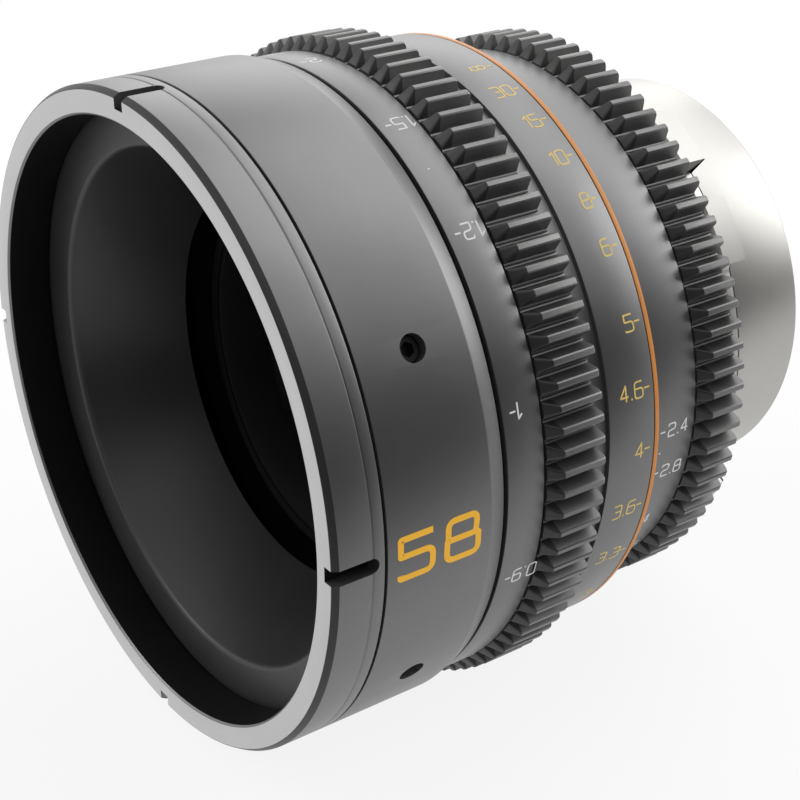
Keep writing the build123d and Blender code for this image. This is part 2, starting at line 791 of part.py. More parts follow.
cam_shares = [
    -cam_path_overrun_share + (1 + 2 * cam_path_overrun_share) * index / cam_path_steps
    for index in range(cam_path_steps + 1)
]
cam_path = Spline(*[cam_point(turn_share) for turn_share in cam_shares])
cam_groove_width = 2 * (blade_pin_radius + hole_clearance)
cam_groove = trace(cam_path, cam_groove_width)
cam_groove += Pos(*cam_point(cam_shares[0])) * Circle(cam_groove_width / 2)
cam_groove += Pos(*cam_point(cam_shares[-1])) * Circle(cam_groove_width / 2)
iris_cam_ring = ring(cam_rear, cam_front, iris_cam_bore, cam_ring_radius)
for angle in blade_angles:
    iris_cam_ring -= prism(Rot(0, 0, angle) * cam_groove, cam_rear - overrun, cam_rear + cam_groove_depth)
drive_pin_inner = cam_ring_radius - drive_pin_depth
iris_cam_ring -= radial_pin(
    drive_pin_angle,
    drive_station,
    drive_pin_radius + seat_clearance,
    drive_pin_inner - seat_clearance,
    iris_ring_radius,
)
save("iris_cam_ring", iris_cam_ring)

# Iris ring, its gear band and the pin to the cam ring
iris_ring = turned(
    [
        (iris_ring_start, iris_bore),
        (iris_ring_start, iris_gear_seat_radius),
        (iris_gear_end, iris_gear_seat_radius),
        (iris_gear_end, iris_ring_radius),
        (iris_ring_end, iris_ring_radius),
        (iris_ring_end, iris_bore),
    ]
)
iris_ring -= radial_pin(
    drive_pin_angle,
    drive_station,
    drive_pin_radius + seat_clearance,
    barrel_rear_bore,
    iris_ring_radius + overrun,
)
save("iris_ring", iris_ring)
save("iris_gear", gear_band(iris_gear_seat_radius, iris_gear_start, iris_gear_end))
iris_drive_pin = radial_pin(
    drive_pin_angle, drive_station, drive_pin_radius, drive_pin_inner, iris_ring_radius - drive_pin_recess
)
save("iris_drive_pin", iris_drive_pin)

# Index ring, seated on the barrel's shoulder
save("index_ring", ring(index_start, index_end, barrel_rear_radius + seat_clearance, focus_rear_radius))

# Focus ring with its helical grooves and its stop groove
focus_ring = turned(
    [
        (focus_start, focus_bore),
        (focus_start, focus_rear_radius - edge_break),
        (focus_start + edge_break, focus_rear_radius),
        (focus_groove_start - edge_break, focus_rear_radius),
        (focus_groove_start, focus_rear_radius - edge_break),
        (focus_groove_start, focus_groove_radius),
        (focus_gear_start, focus_groove_radius),
        (focus_gear_start, focus_gear_seat_radius),
        (focus_end, focus_gear_seat_radius),
        (focus_end, focus_bore),
    ]
)
groove_depth_radius = barrel_front_radius + follower_depth
groove_inner_radius = barrel_front_radius - overrun
groove_middle_radius = (groove_depth_radius + groove_inner_radius) / 2
groove_margin = angle_of(follower_radius + groove_end_margin, groove_middle_radius)
groove_span = focus_throw_angle + 2 * groove_margin
groove_path = Helix(
    pitch=360 * lift_per_degree,
    height=groove_span * lift_per_degree,
    radius=groove_middle_radius,
    lefthand=True,
)
groove_section_plane = Plane(origin=groove_path @ 0, x_dir=(1, 0, 0), z_dir=groove_path % 0)
groove_section = groove_section_plane * Rectangle(groove_depth_radius - groove_inner_radius, slot_width)
groove = sweep(groove_section, path=groove_path, is_frenet=True)
for angle in follower_angles:
    start_angle = angle - focus_to_close_angle - groove_margin
    start_station = follower_station + travel_to_close + groove_margin * lift_per_degree
    start_direction = (math.cos(math.radians(start_angle)), 0, math.sin(math.radians(start_angle)))
    groove_plane = Plane(origin=(0, -start_station, 0), x_dir=start_direction, z_dir=(0, 1, 0))
    focus_ring -= groove_plane * groove
stop_margin = angle_of(stop_pin_radius + slide_clearance, follower_tip_radius)
focus_ring -= arc_slot(
    stop_station,
    2 * (stop_pin_radius + slide_clearance),
    barrel_front_bore,
    groove_depth_radius,
    stop_pin_angle - focus_to_close_angle - stop_margin,
    stop_pin_angle + focus_to_infinity_angle + stop_margin,
)
save("focus_ring", focus_ring)

save("focus_gear", gear_band(focus_gear_seat_radius, focus_gear_start, focus_gear_end))
sleeve_bore = focus_gear_seat_radius + seat_clearance
metre_scale_ring = turned(
    [
        (scale_sleeve_start, sleeve_bore),
        (scale_sleeve_start, scale_sleeve_radius),
        (focus_end - edge_break, scale_sleeve_radius),
        (focus_end, scale_sleeve_radius - edge_break),
        (focus_end, sleeve_bore),
    ]
)
save("metre_scale_ring", metre_scale_ring)

focus_stop_pin = radial_pin(
    stop_pin_angle, stop_station, stop_pin_radius, barrel_front_bore + edge_break, follower_tip_radius
)
save("focus_stop_pin", focus_stop_pin)

# Focus retainer
focus_retainer = ring(retainer_start, retainer_end, barrel_front_radius + seat_clearance, retainer_radius)
retainer_slot = Box(2 * (front_radius + overrun), spanner_slot_width, 2 * spanner_slot_depth)
focus_retainer -= axial_plane(retainer_end) * retainer_slot
save("focus_retainer", focus_retainer)

# Front barrel
front_barrel_bore = barrel_front_radius + seat_clearance
spigot_bore = filter_spigot_radius + seat_clearance
front_barrel = turned(
    [
        (front_barrel_start, retainer_radius + face_clearance),
        (front_barrel_start, front_radius - rear_bevel_drop),
        (front_barrel_start + rear_bevel_length, front_radius),
        (front_barrel_end, front_radius),
        (front_barrel_end, spigot_bore),
        (spigot_start - face_clearance, spigot_bore),
        (spigot_start - face_clearance, front_barrel_bore),
        (retainer_end + face_clearance, front_barrel_bore),
        (retainer_end + face_clearance, retainer_radius + face_clearance),
    ]
)
for angle in set_screw_angles:
    front_barrel -= radial_pin(
        angle, set_screw_station, set_screw_radius + hole_clearance, barrel_front_bore, front_radius + overrun
    )
save("front_barrel", front_barrel)

set_screw_outer = front_radius - set_screw_sink
set_screws = []
for angle in set_screw_angles:
    screw = radial_pin(angle, set_screw_station, set_screw_radius, groove_floor, set_screw_outer)
    socket = extrude(RegularPolygon(set_screw_socket_radius, 6), amount=set_screw_socket_depth + overrun)
    direction = (math.cos(math.radians(angle)), 0, math.sin(math.radians(angle)))
    socket_plane = Plane(origin=(0, -set_screw_station, 0), x_dir=(0, 1, 0), z_dir=direction)
    screw -= socket_plane * Pos(0, 0, set_screw_outer - set_screw_socket_depth) * socket
    set_screws.append(screw)
save("front_set_screws", group(set_screws))

# Filter ring
filter_ring = turned(
    [
        (spigot_start, filter_relief_radius),
        (spigot_start, filter_spigot_radius),
        (filter_ring_start, filter_spigot_radius),
        (filter_ring_start, front_radius),
        (front_face - filter_edge_length, front_radius),
        (front_face, front_radius - filter_edge_drop),
        (front_face, filter_bore + filter_mouth_chamfer),
        (front_face - filter_mouth_chamfer, filter_bore),
        (thread_end, filter_bore),
        (thread_end, filter_relief_radius),
    ]
)
notch_half = notch_width / 2
notch_straight = notch_length - notch_half
notch_floor = front_radius - notch_depth
notch = Box(
    front_radius,
    notch_width,
    notch_straight + overrun,
    align=(Align.MIN, Align.CENTER, Align.MIN),
)
for angle in spread(notch_count, 0):
    notch_place = axial_plane(front_face - notch_straight)
    notch_place *= Rot(0, 0, angle) * Pos(notch_floor, 0, 0)
    filter_ring -= notch_place * notch
    filter_ring -= radial_pin(
        angle, front_face - notch_straight, notch_half, notch_floor, front_radius + overrun
    )
save("filter_ring", filter_ring)

# Front baffle
cone_slope = (baffle_mouth_radius - baffle_throat_radius) / baffle_length
wall_across = baffle_wall * math.hypot(1, cone_slope)
seat_cone_radius = baffle_throat_radius + wall_across + (barrel_end - baffle_rear) * cone_slope
front_baffle = turned(
    [
        (baffle_rear, baffle_throat_radius),
        (baffle_rear, baffle_throat_radius + wall_across),
        (barrel_end, seat_cone_radius),
        (barrel_end, filter_relief_radius - seat_clearance),
        (baffle_ledge, filter_relief_radius - seat_clearance),
        (filter_ring_start, baffle_mouth_radius),
    ]
)
save("front_baffle", front_baffle)

# Front cell and what it holds
front_glass_bore = front_element_radius + seat_clearance
doublet_bore = second_element_radius + seat_clearance
front_cell = turned(
    [
        (cell_rear, second_element_radius - cell_shoulder_width),
        (cell_rear, cell_rear_tube_radius),
        (cell_web_rear, cell_rear_tube_radius),
        (cell_web_rear, cell_sleeve_bore),
        (cell_rear, cell_sleeve_bore),
        (cell_rear, cell_radius),
        (cell_front, cell_radius),
        (cell_front, cell_sleeve_bore),
        (cell_web_front, cell_sleeve_bore),
        (cell_web_front, cell_front_tube_radius),
        (cell_front, cell_front_tube_radius),
        (cell_front, front_retainer_radius),
        (front_element_front + retainer_step, front_retainer_radius),
        (front_element_front + retainer_step, front_glass_bore),
        (cell_step, front_glass_bore),
        (cell_step, doublet_bore),
        (third_element_rear, doublet_bore),
        (third_element_rear, second_element_radius - cell_shoulder_width),
    ]
)
follower_inner = cell_sleeve_bore + edge_break
for angle in follower_angles:
    front_cell -= radial_pin(
        angle,
        follower_station,
        follower_radius + seat_clearance,
        cell_rear_tube_radius + overrun,
        barrel_front_radius,
    )
save("front_cell", front_cell)
save(
    "focus_followers",
    group(
        [
            radial_pin(angle, follower_station, follower_radius, follower_inner, follower_tip_radius)
            for angle in follower_angles
        ]
    ),
)

front_retainer = turned(
    [
        (front_element_front, front_element_radius - glass_contact_width),
        (front_element_front, front_element_radius),
        (front_element_front + retainer_step, front_element_radius),
        (front_element_front + retainer_step, front_retainer_radius - seat_clearance),
        (cell_front - front_retainer_recess, front_retainer_radius - seat_clearance),
        (cell_front - front_retainer_recess, front_retainer_radius - front_retainer_lip),
    ]
)
save("front_retainer", front_retainer)

front_spacer = turned(
    [
        (second_element_front, second_element_radius - glass_contact_width),
        (second_element_front, second_element_radius),
        (cell_step, second_element_radius),
        (cell_step, front_element_radius),
        (front_element_rear, front_element_radius),
        (front_element_rear, front_element_radius - glass_contact_width),
        (cell_step, second_element_radius - glass_contact_width),
    ]
)
save("front_spacer", front_spacer)

save(
    "front_element",
    glass(
        front_element_front,
        front_element_rear,
        front_element_radius,
        front_element_front_curve,
        front_clear,
        front_element_rear_curve,
        front_clear,
    ),
)
save(
    "second_element",
    glass(
        second_element_front,
        second_element_rear,
        second_element_radius,
        second_element_front_curve,
        second_clear,
        front_cement_curve,
        second_element_radius,
    ),
)
save(
    "third_element",
    glass(
        third_element_front,
        third_element_rear,
        second_element_radius,
        front_cement_curve,
        second_element_radius,
        third_element_rear_curve,
        third_clear,
    ),
)

# Rear cell and what it holds
rear_doublet_bore = fourth_element_radius + seat_clearance
rear_glass_bore = sixth_element_radius + seat_clearance
rear_cell = turned(
    [
        (rear_cell_front, fourth_clear),
        (rear_cell_front, rear_cell_tube_radius),
        (rear_flange_front, rear_cell_tube_radius),
        (rear_flange_front, rear_cell_flange_radius),
        (barrel_flange_end, rear_cell_flange_radius),
        (barrel_flange_end, rear_cell_tube_radius),
        (rear_cell_rear, rear_cell_tube_radius),
        (rear_cell_rear, rear_retainer_radius),
        (sixth_element_rear - retainer_step, rear_retainer_radius),
        (sixth_element_rear - retainer_step, rear_glass_bore),
        (rear_step, rear_glass_bore),
        (rear_step, rear_doublet_bore),
        (fourth_element_front, rear_doublet_bore),
        (fourth_element_front, fourth_clear),
    ]
)
for angle in rear_screw_angles:
    hole = countersunk_hole(rear_screw_length + small_screw_tip_room)
    rear_cell -= place(hole, rear_screw_top, angle, rear_screw_circle_radius, forward=False)
save("rear_cell", rear_cell)

rear_screw = countersunk_screw(rear_screw_length)
save(
    "rear_cell_screws",
    group(
        [
            place(rear_screw, rear_screw_top, angle, rear_screw_circle_radius, forward=False)
            for angle in rear_screw_angles
        ]
    ),
)

rear_spacer = turned(
    [
        (fifth_element_rear, fourth_element_radius - glass_contact_width),
        (fifth_element_rear, fourth_element_radius),
        (rear_step, fourth_element_radius),
        (rear_step, sixth_element_radius),
        (sixth_element_front, sixth_element_radius),
        (sixth_element_front, sixth_element_radius - glass_contact_width),
        (rear_step, fourth_element_radius - glass_contact_width),
    ]
)
save("rear_spacer", rear_spacer)

rear_retainer = turned(
    [
        (sixth_element_rear, sixth_element_radius - glass_contact_width),
        (sixth_element_rear, sixth_element_radius),
        (sixth_element_rear - retainer_step, sixth_element_radius),
        (sixth_element_rear - retainer_step, rear_retainer_radius - seat_clearance),
        (rear_cell_rear + front_retainer_recess, rear_retainer_radius - seat_clearance),
        (rear_cell_rear + front_retainer_recess, rear_retainer_radius - rear_retainer_lip),
    ]
)
save("rear_retainer", rear_retainer)

save(
    "fourth_element",
    glass(
        fourth_element_front,
        fourth_element_rear,
        fourth_element_radius,
        fourth_element_front_curve,
        fourth_clear,
        rear_cement_curve,
        fourth_element_radius,
    ),
)
save(
    "fifth_element",
    glass(
        fifth_element_front,
        fifth_element_rear,
        fourth_element_radius,
        rear_cement_curve,
        fourth_element_radius,
        fifth_element_rear_curve,
        fifth_clear,
    ),
)
save(
    "sixth_element",
    glass(
        sixth_element_front,
        sixth_element_rear,
        sixth_element_radius,
        sixth_element_front_curve,
        sixth_clear,
        sixth_element_rear_curve,
        sixth_clear,
    ),
)

# Rear baffle
rear_baffle_outer = rear_pocket_radius - seat_clearance
rear_baffle_shoulder = throat_bore - face_clearance
rear_baffle_mouth = throat_bore - rear_baffle_mouth_inset
rear_baffle_bore = rear_baffle_mouth - rear_baffle_taper
rear_baffle = turned(
    [
        (rear_baffle_rear, rear_baffle_mouth),
        (rear_baffle_rear, rear_baffle_outer),
        (pocket_end, rear_baffle_outer),
        (pocket_end, rear_baffle_shoulder),
        (rear_baffle_front, rear_baffle_bore + rear_baffle_wall),
        (rear_baffle_front, rear_baffle_bore),
    ]
)
save("rear_baffle", rear_baffle)
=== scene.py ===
import math
import bpy
import bmesh
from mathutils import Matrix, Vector


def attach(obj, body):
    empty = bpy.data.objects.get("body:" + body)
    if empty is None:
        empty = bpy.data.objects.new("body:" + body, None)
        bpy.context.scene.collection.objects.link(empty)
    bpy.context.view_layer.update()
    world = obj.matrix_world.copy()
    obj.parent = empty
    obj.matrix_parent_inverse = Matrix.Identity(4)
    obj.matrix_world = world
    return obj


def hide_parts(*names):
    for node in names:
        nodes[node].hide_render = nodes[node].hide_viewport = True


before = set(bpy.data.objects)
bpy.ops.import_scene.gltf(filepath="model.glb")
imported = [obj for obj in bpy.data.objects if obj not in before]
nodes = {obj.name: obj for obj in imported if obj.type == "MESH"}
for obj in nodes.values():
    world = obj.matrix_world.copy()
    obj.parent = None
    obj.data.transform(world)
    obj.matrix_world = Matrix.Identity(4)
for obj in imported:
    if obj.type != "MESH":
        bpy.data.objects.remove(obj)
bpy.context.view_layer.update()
scene = bpy.context.scene
mm = 0.001

print("camera")
view = {
    "position": (0.1594, -0.1443, 0.0940),
    "direction": (-0.721, 0.519, -0.459),
    "lens": 76.5,
    "sensor": 36.0,
    "nearest": 0.005,
    "farthest": 20.0,
}
cameraData = bpy.data.cameras.new("camera")
cameraData.lens = view["lens"]
cameraData.sensor_width = view["sensor"]
cameraData.clip_start = view["nearest"]
cameraData.clip_end = view["farthest"]
camera = bpy.data.objects.new("camera", cameraData)
camera.location = view["position"]
camera.rotation_euler = Vector(view["direction"]).to_track_quat("-Z", "Y").to_euler()
scene.collection.objects.link(camera)
scene.camera = camera


# Finishes

class Wire:  # a socket that can stand in a sum
    def __init__(self, finish, socket):
        self.finish = finish
        self.socket = socket

    def maths(self, operation, *values):
        return self.finish.add("ShaderNodeMath", {"operation": operation}, dict(enumerate(values)))

    def __add__(self, other):
        return self.maths("ADD", self, other)

    def __radd__(self, other):
        return self.maths("ADD", other, self)

    def __sub__(self, other):
        return self.maths("SUBTRACT", self, other)

    def __rsub__(self, other):
        return self.maths("SUBTRACT", other, self)

    def __mul__(self, other):
        return self.maths("MULTIPLY", self, other)

    def __rmul__(self, other):
        return self.maths("MULTIPLY", other, self)

    def __truediv__(self, other):
        return self.maths("DIVIDE", self, other)

    def root(self):
        return self.maths("SQRT", self)

    def clipped(self):
        return self.maths("MINIMUM", self.maths("MAXIMUM", self, 0.0), 1.0)
    def ramped(self, low, high):
        return ((self - low) / (high - low)).clipped()


class Finish:  # the nodes of one material or of the world, filled through one method
    def __init__(self, owner):
        owner.use_nodes = True
        self.owner = owner
        self.tree = owner.node_tree
        self.tree.nodes.clear()

    def add(self, kind, settings=None, sockets=None, output=0):
        node = self.tree.nodes.new(kind)
        for key, value in (settings or {}).items():
            setattr(node, key, value)
        for key, value in (sockets or {}).items():
            if isinstance(value, Wire):
                self.tree.links.new(value.socket, node.inputs[key])
            else:
                node.inputs[key].default_value = value
        return Wire(self, node.outputs[output]) if len(node.outputs) else node

    def noise(self, vector, scale, detail, roughness):
        return self.add(
            "ShaderNodeTexNoise",
            {"noise_dimensions": "3D"},
            {"Vector": vector, "Scale": scale, "Detail": detail, "Roughness": roughness},
        )

    def mixed(self, share, first, second):
        sockets = {"Factor": share, 6: first, 7: second}
        return self.add("ShaderNodeMix", {"data_type": "RGBA"}, sockets, output=2)

    def blended(self, share, first, second):
        return self.add("ShaderNodeMixShader", None, {0: share, 1: first, 2: second})

    def glowing(self, colour, strength):
        return self.add("ShaderNodeEmission", None, {"Color": colour, "Strength": strength})

    def place(self):
        return self.add("ShaderNodeTexCoord", output=3)

    def parts(self, vector):
        split = self.tree.nodes.new("ShaderNodeSeparateXYZ")
        self.tree.links.new(vector.socket, split.inputs[0])
        return [Wire(self, socket) for socket in split.outputs]

    def rays(self):
        path = self.tree.nodes.new("ShaderNodeLightPath")
        kinds = ("Camera", "Glossy", "Transmission")
        return [Wire(self, path.outputs["Is " + kind + " Ray"]) for kind in kinds]

    def finish(self, surface, output="ShaderNodeOutputMaterial"):
        self.add(output, None, {"Surface": surface})
        return self.owner


def grey(value, warmth=0.0):
    return (value * (1 + warmth), value, value * (1 - warmth), 1.0)


def turnedMetal(name, **changes):
    # anodised or plated metal with fine lines from the lathe and the grain of blasting
    look = dict(metalLook, **changes)
    finish = Finish(bpy.data.materials.new(name))
    place = finish.place()
    x, along, z = finish.parts(place)
    radius, angle = (x * x + z * z).root(), x.maths("ARCTAN2", z, x)
    drawn = finish.add("ShaderNodeCombineXYZ", None, {0: radius, 1: along, 2: angle * look["lineDrift"]})
    lines = finish.noise(drawn, 1 / (look["lineWidth"] * mm), 2.0, 0.6)
    grain = finish.noise(place, 1 / (look["grain"] * mm), 3.0, 0.6)
    clouds = finish.noise(place, 1 / (look["clouds"] * mm), 3.0, 0.55)
    tone = (0.5 + (grain - 0.5) * look["grainTone"] + (clouds - 0.5) * look["cloudTone"]).clipped()
    colour = finish.mixed(tone, look["low"], look["high"])
    rough = look["rough"] + (lines - 0.5) * look["roughLines"] + (clouds - 0.5) * look["roughClouds"]
    height = lines * look["lineHeight"] + grain * look["grainHeight"]
    bump = finish.add("ShaderNodeBump", None, {"Strength": 1.0, "Distance": mm, "Height": height})
    return finish.finish(finish.add("ShaderNodeBsdfPrincipled", None, {
        "Base Color": colour, "Metallic": look["metal"], "Roughness": rough.clipped(), "Normal": bump,
        "Specular IOR Level": look["shine"],
    }))


def paintFinish(name, **changes):
    # enamel run into an engraved mark, a little uneven
    look = dict(paintLook, **changes)
    finish = Finish(bpy.data.materials.new(name))
    mottle = finish.noise(finish.place(), 1 / (look["mottle"] * mm), 3.0, 0.6)
    colour = finish.mixed(mottle, look["low"], look["high"])
    rough = (look["rough"] + (mottle - 0.5) * look["roughMottle"]).clipped()
    height = mottle * look["height"]
    bump = finish.add("ShaderNodeBump", None, {"Strength": 1.0, "Distance": mm, "Height": height})
    return finish.finish(finish.add("ShaderNodeBsdfPrincipled", None, {
        "Base Color": colour, "Roughness": rough, "Normal": bump,
    }))


def glassFinish(name, look):
    # coated glass: clear, with a tinted reflection and a trace of dust in its roughness
    finish = Finish(bpy.data.materials.new(name))
    dust = finish.noise(finish.place(), 1 / (look["dust"] * mm), 4.0, 0.65)
    rough = ((dust - look["dustStart"]) * look["dustRough"]).clipped()
    return finish.finish(finish.add("ShaderNodeBsdfPrincipled", None, {
        "Base Color": look["tint"], "Roughness": rough, "IOR": look["ior"],
        "Transmission Weight": 1.0, "Specular Tint": look["coating"],
    }))


metalLook = {
    "metal": 1.0, "shine": 0.5, "lineDrift": 0.0004, "lineWidth": 0.16, "lineHeight": 0.0016,
    "roughLines": 0.10, "grain": 0.11, "grainTone": 0.8, "grainHeight": 0.0012,
    "clouds": 9.0, "cloudTone": 0.9, "roughClouds": 0.06,
}
paintLook = {"mottle": 0.35, "roughMottle": 0.15, "height": 0.004}
anodisedGrey = turnedMetal(
    "anodisedGrey", low=grey(0.165), high=grey(0.200), metal=0.85, shine=0.4, rough=0.40)
rimGrey = turnedMetal(
    "rimGrey", low=grey(0.47), high=grey(0.55), rough=0.30)
# painted shade: near-black for the outer chamfer of the filter ring's front edge, standing in for the shade
# on it
edgePaintedShade = turnedMetal(
    "edgePaintedShade", low=grey(0.020), high=grey(0.030), metal=0.0, shine=0.3, rough=0.40)
# painted light: a lighter copy of the baffle's black, for its front ledge and mouth where light from the
# front falls
ledgePaintedLight = turnedMetal(
    "ledgePaintedLight", low=grey(0.040), high=grey(0.055), metal=0.3, shine=0.4, rough=0.42)
gearGrey = turnedMetal(
    "gearGrey", low=grey(0.145, 0.01), high=grey(0.180, 0.01), metal=0.85, shine=0.4, rough=0.42)
# painted shade: a darker copy of the gear's grey, for the shaded front bevels of the teeth
bevelPaintedShade = turnedMetal(
    "bevelPaintedShade", low=grey(0.050, 0.01), high=grey(0.066, 0.01), metal=0.7, shine=0.3, rough=0.45)
innerBlack = turnedMetal(
    "innerBlack", low=grey(0.005), high=grey(0.009), metal=0.0, shine=0.08, rough=0.6)
coneBlack = turnedMetal(
    "coneBlack", low=grey(0.016), high=grey(0.024), metal=0.0, shine=0.5, rough=0.38)
satinBlack = turnedMetal(
    "satinBlack", low=grey(0.008), high=grey(0.014), metal=0.0, shine=0.2, rough=0.45)
mountSteel = turnedMetal(
    "mountSteel", low=(0.42, 0.41, 0.39, 1.0), high=(0.50, 0.49, 0.47, 1.0), rough=0.40,
    lineHeight=0.0010, grainHeight=0.0004, grainTone=0.4)
brightSteel = turnedMetal(
    "brightSteel", low=grey(0.50, 0.02), high=grey(0.62, 0.02), rough=0.28)
blackSteel = turnedMetal(
    "blackSteel", low=grey(0.018), high=grey(0.032), metal=0.7, rough=0.36)
bladeSteel = turnedMetal(
    "bladeSteel", low=grey(0.030), high=grey(0.045), metal=0.6, rough=0.40)
shimBrass = turnedMetal(
    "shimBrass", low=(0.55, 0.38, 0.14, 1.0), high=(0.66, 0.47, 0.19, 1.0), rough=0.30)
orangePaint = paintFinish(
    "orangePaint", low=(0.60, 0.21, 0.035, 1.0), high=(0.70, 0.27, 0.05, 1.0), rough=0.42)
amberPaint = paintFinish(
    "amberPaint", low=(0.93, 0.45, 0.010, 1.0), high=(1.0, 0.54, 0.018, 1.0), rough=0.45)
yellowPaint = paintFinish(
    "yellowPaint", low=(0.70, 0.50, 0.12, 1.0), high=(0.82, 0.60, 0.17, 1.0), rough=0.45)
whitePaint = paintFinish("whitePaint", low=grey(0.74), high=grey(0.84), rough=0.5)
coatedGlass = glassFinish("coatedGlass", {
    "tint": (0.90, 0.97, 0.93, 1.0), "ior": 1.62, "coating": (0.75, 0.45, 0.85, 1.0),
    "dust": 0.6, "dustStart": 0.55, "dustRough": 0.12,
})


# Making the pieces. A station is a distance in millimetres ahead of the mount's seat.

def point(station, radius, angle):
    return Vector((radius * math.cos(angle), -station, radius * math.sin(angle))) * mm


def newPiece(name, points, faces, material, sharp=25.0):
    mesh = bpy.data.meshes.new(name)
    mesh.from_pydata(points, [], faces)
    shell = bmesh.new()
    shell.from_mesh(mesh)
    bmesh.ops.recalc_face_normals(shell, faces=shell.faces)
    shell.to_mesh(mesh)
    shell.free()
    mesh.materials.append(material)
    piece = bpy.data.objects.new(name, mesh)
    scene.collection.objects.link(piece)
    smoothed(piece, sharp)
    return piece


def smoothed(piece, sharp):
    piece.data.shade_smooth()
    piece.data.set_sharp_from_angle(angle=math.radians(sharp))


def zoned(piece, material, chosen):
    # gives the faces that a test on their station and radius chooses another finish
    piece.data.materials.append(material)
    index = len(piece.data.materials) - 1
    for face in piece.data.polygons:
        centre = face.center
        if chosen(-centre.y / mm, math.hypot(centre.x, centre.z) / mm):
            face.material_index = index


onAxis = 0.001  # a radius below this is on the axis


def softened(outline, size):
    # rounds each corner of a closed outline with three points
    leastTurn, edgeShare = math.radians(14), 0.3
    result = []
    for index, corner in enumerate(outline):
        here = Vector(corner)
        before = Vector(outline[index - 1]) - here
        after = Vector(outline[(index + 1) % len(outline)]) - here
        if here.y < onAxis or math.pi - before.angle(after) < leastTurn:
            result.append(tuple(here))
            continue
        first = here + before.normalized() * min(size, before.length * edgeShare)
        last = here + after.normalized() * min(size, after.length * edgeShare)
        middle = (first + last) / 4 + here / 2
        result += [tuple(first), tuple(middle), tuple(last)]
    return result


def turned(name, outline, material, size=0.12, steps=480, sharp=25.0):
    # revolves a closed outline of (station, radius) points
    profile = softened(outline, size) if size else outline
    points, rows = [], []
    for station, radius in profile:
        if radius < onAxis:
            rows.append([len(points)] * steps)
            points.append(point(station, 0, 0))
        else:
            rows.append(list(range(len(points), len(points) + steps)))
            points += [point(station, radius, math.tau * step / steps) for step in range(steps)]
    faces = []
    for index, row in enumerate(rows):
        other = rows[(index + 1) % len(rows)]
        for step in range(steps):
            follow = (step + 1) % steps
            corners = [row[step], row[follow], other[follow], other[step]]
            corners = [corner for place, corner in enumerate(corners) if corner != corners[place - 1]]
            if len(corners) > 2:
                faces.append(corners)
    return newPiece(name, points, faces, material, sharp)


def applied(piece, sharp=25.0):
    # turns the modifiers' result into the piece's own mesh
    graph = bpy.context.evaluated_depsgraph_get()
    mesh = bpy.data.meshes.new_from_object(piece.evaluated_get(graph), depsgraph=graph)
    piece.modifiers.clear()
    piece.data = mesh
    smoothed(piece, sharp)
    return piece


def cut(piece, cutter):
    knife = piece.modifiers.new("cut", "BOOLEAN")
    knife.operation = "DIFFERENCE"
    knife.solver = "EXACT"
    knife.object = cutter
    applied(piece)
    bpy.data.objects.remove(cutter)
def outAndSide(angle):
    return Vector((math.cos(angle), 0, math.sin(angle))), Vector((-math.sin(angle), 0, math.cos(angle)))


def wall(faces, low, high, count):
    # the faces between two closed rows of points
    for step in range(count):
        follow = (step + 1) % count
        faces.append([low + step, low + follow, high + follow, high + step])


def radialPrisms(name, plan, inner, outer, angles):
    # cutters that stand out along the radius; the plan is (station, sideways) in millimetres
    points, faces = [], []
    count = len(plan)
    for angle in angles:
        out, side = outAndSide(angle)
        first = len(points)
        for radius in (inner, outer):
            for station, across in plan:
                points.append((out * radius + side * across + Vector((0, -station, 0))) * mm)
        faces.append(list(range(first, first + count)))
        faces.append(list(range(first + 2 * count - 1, first + count - 1, -1)))
        wall(faces, first, first + count, count)
    return newPiece(name, points, faces, innerBlack)


def roundPlan(station, radius, count=40):
    swings = [math.tau * step / count for step in range(count)]
    return [(station + radius * math.cos(swing), radius * math.sin(swing)) for swing in swings]


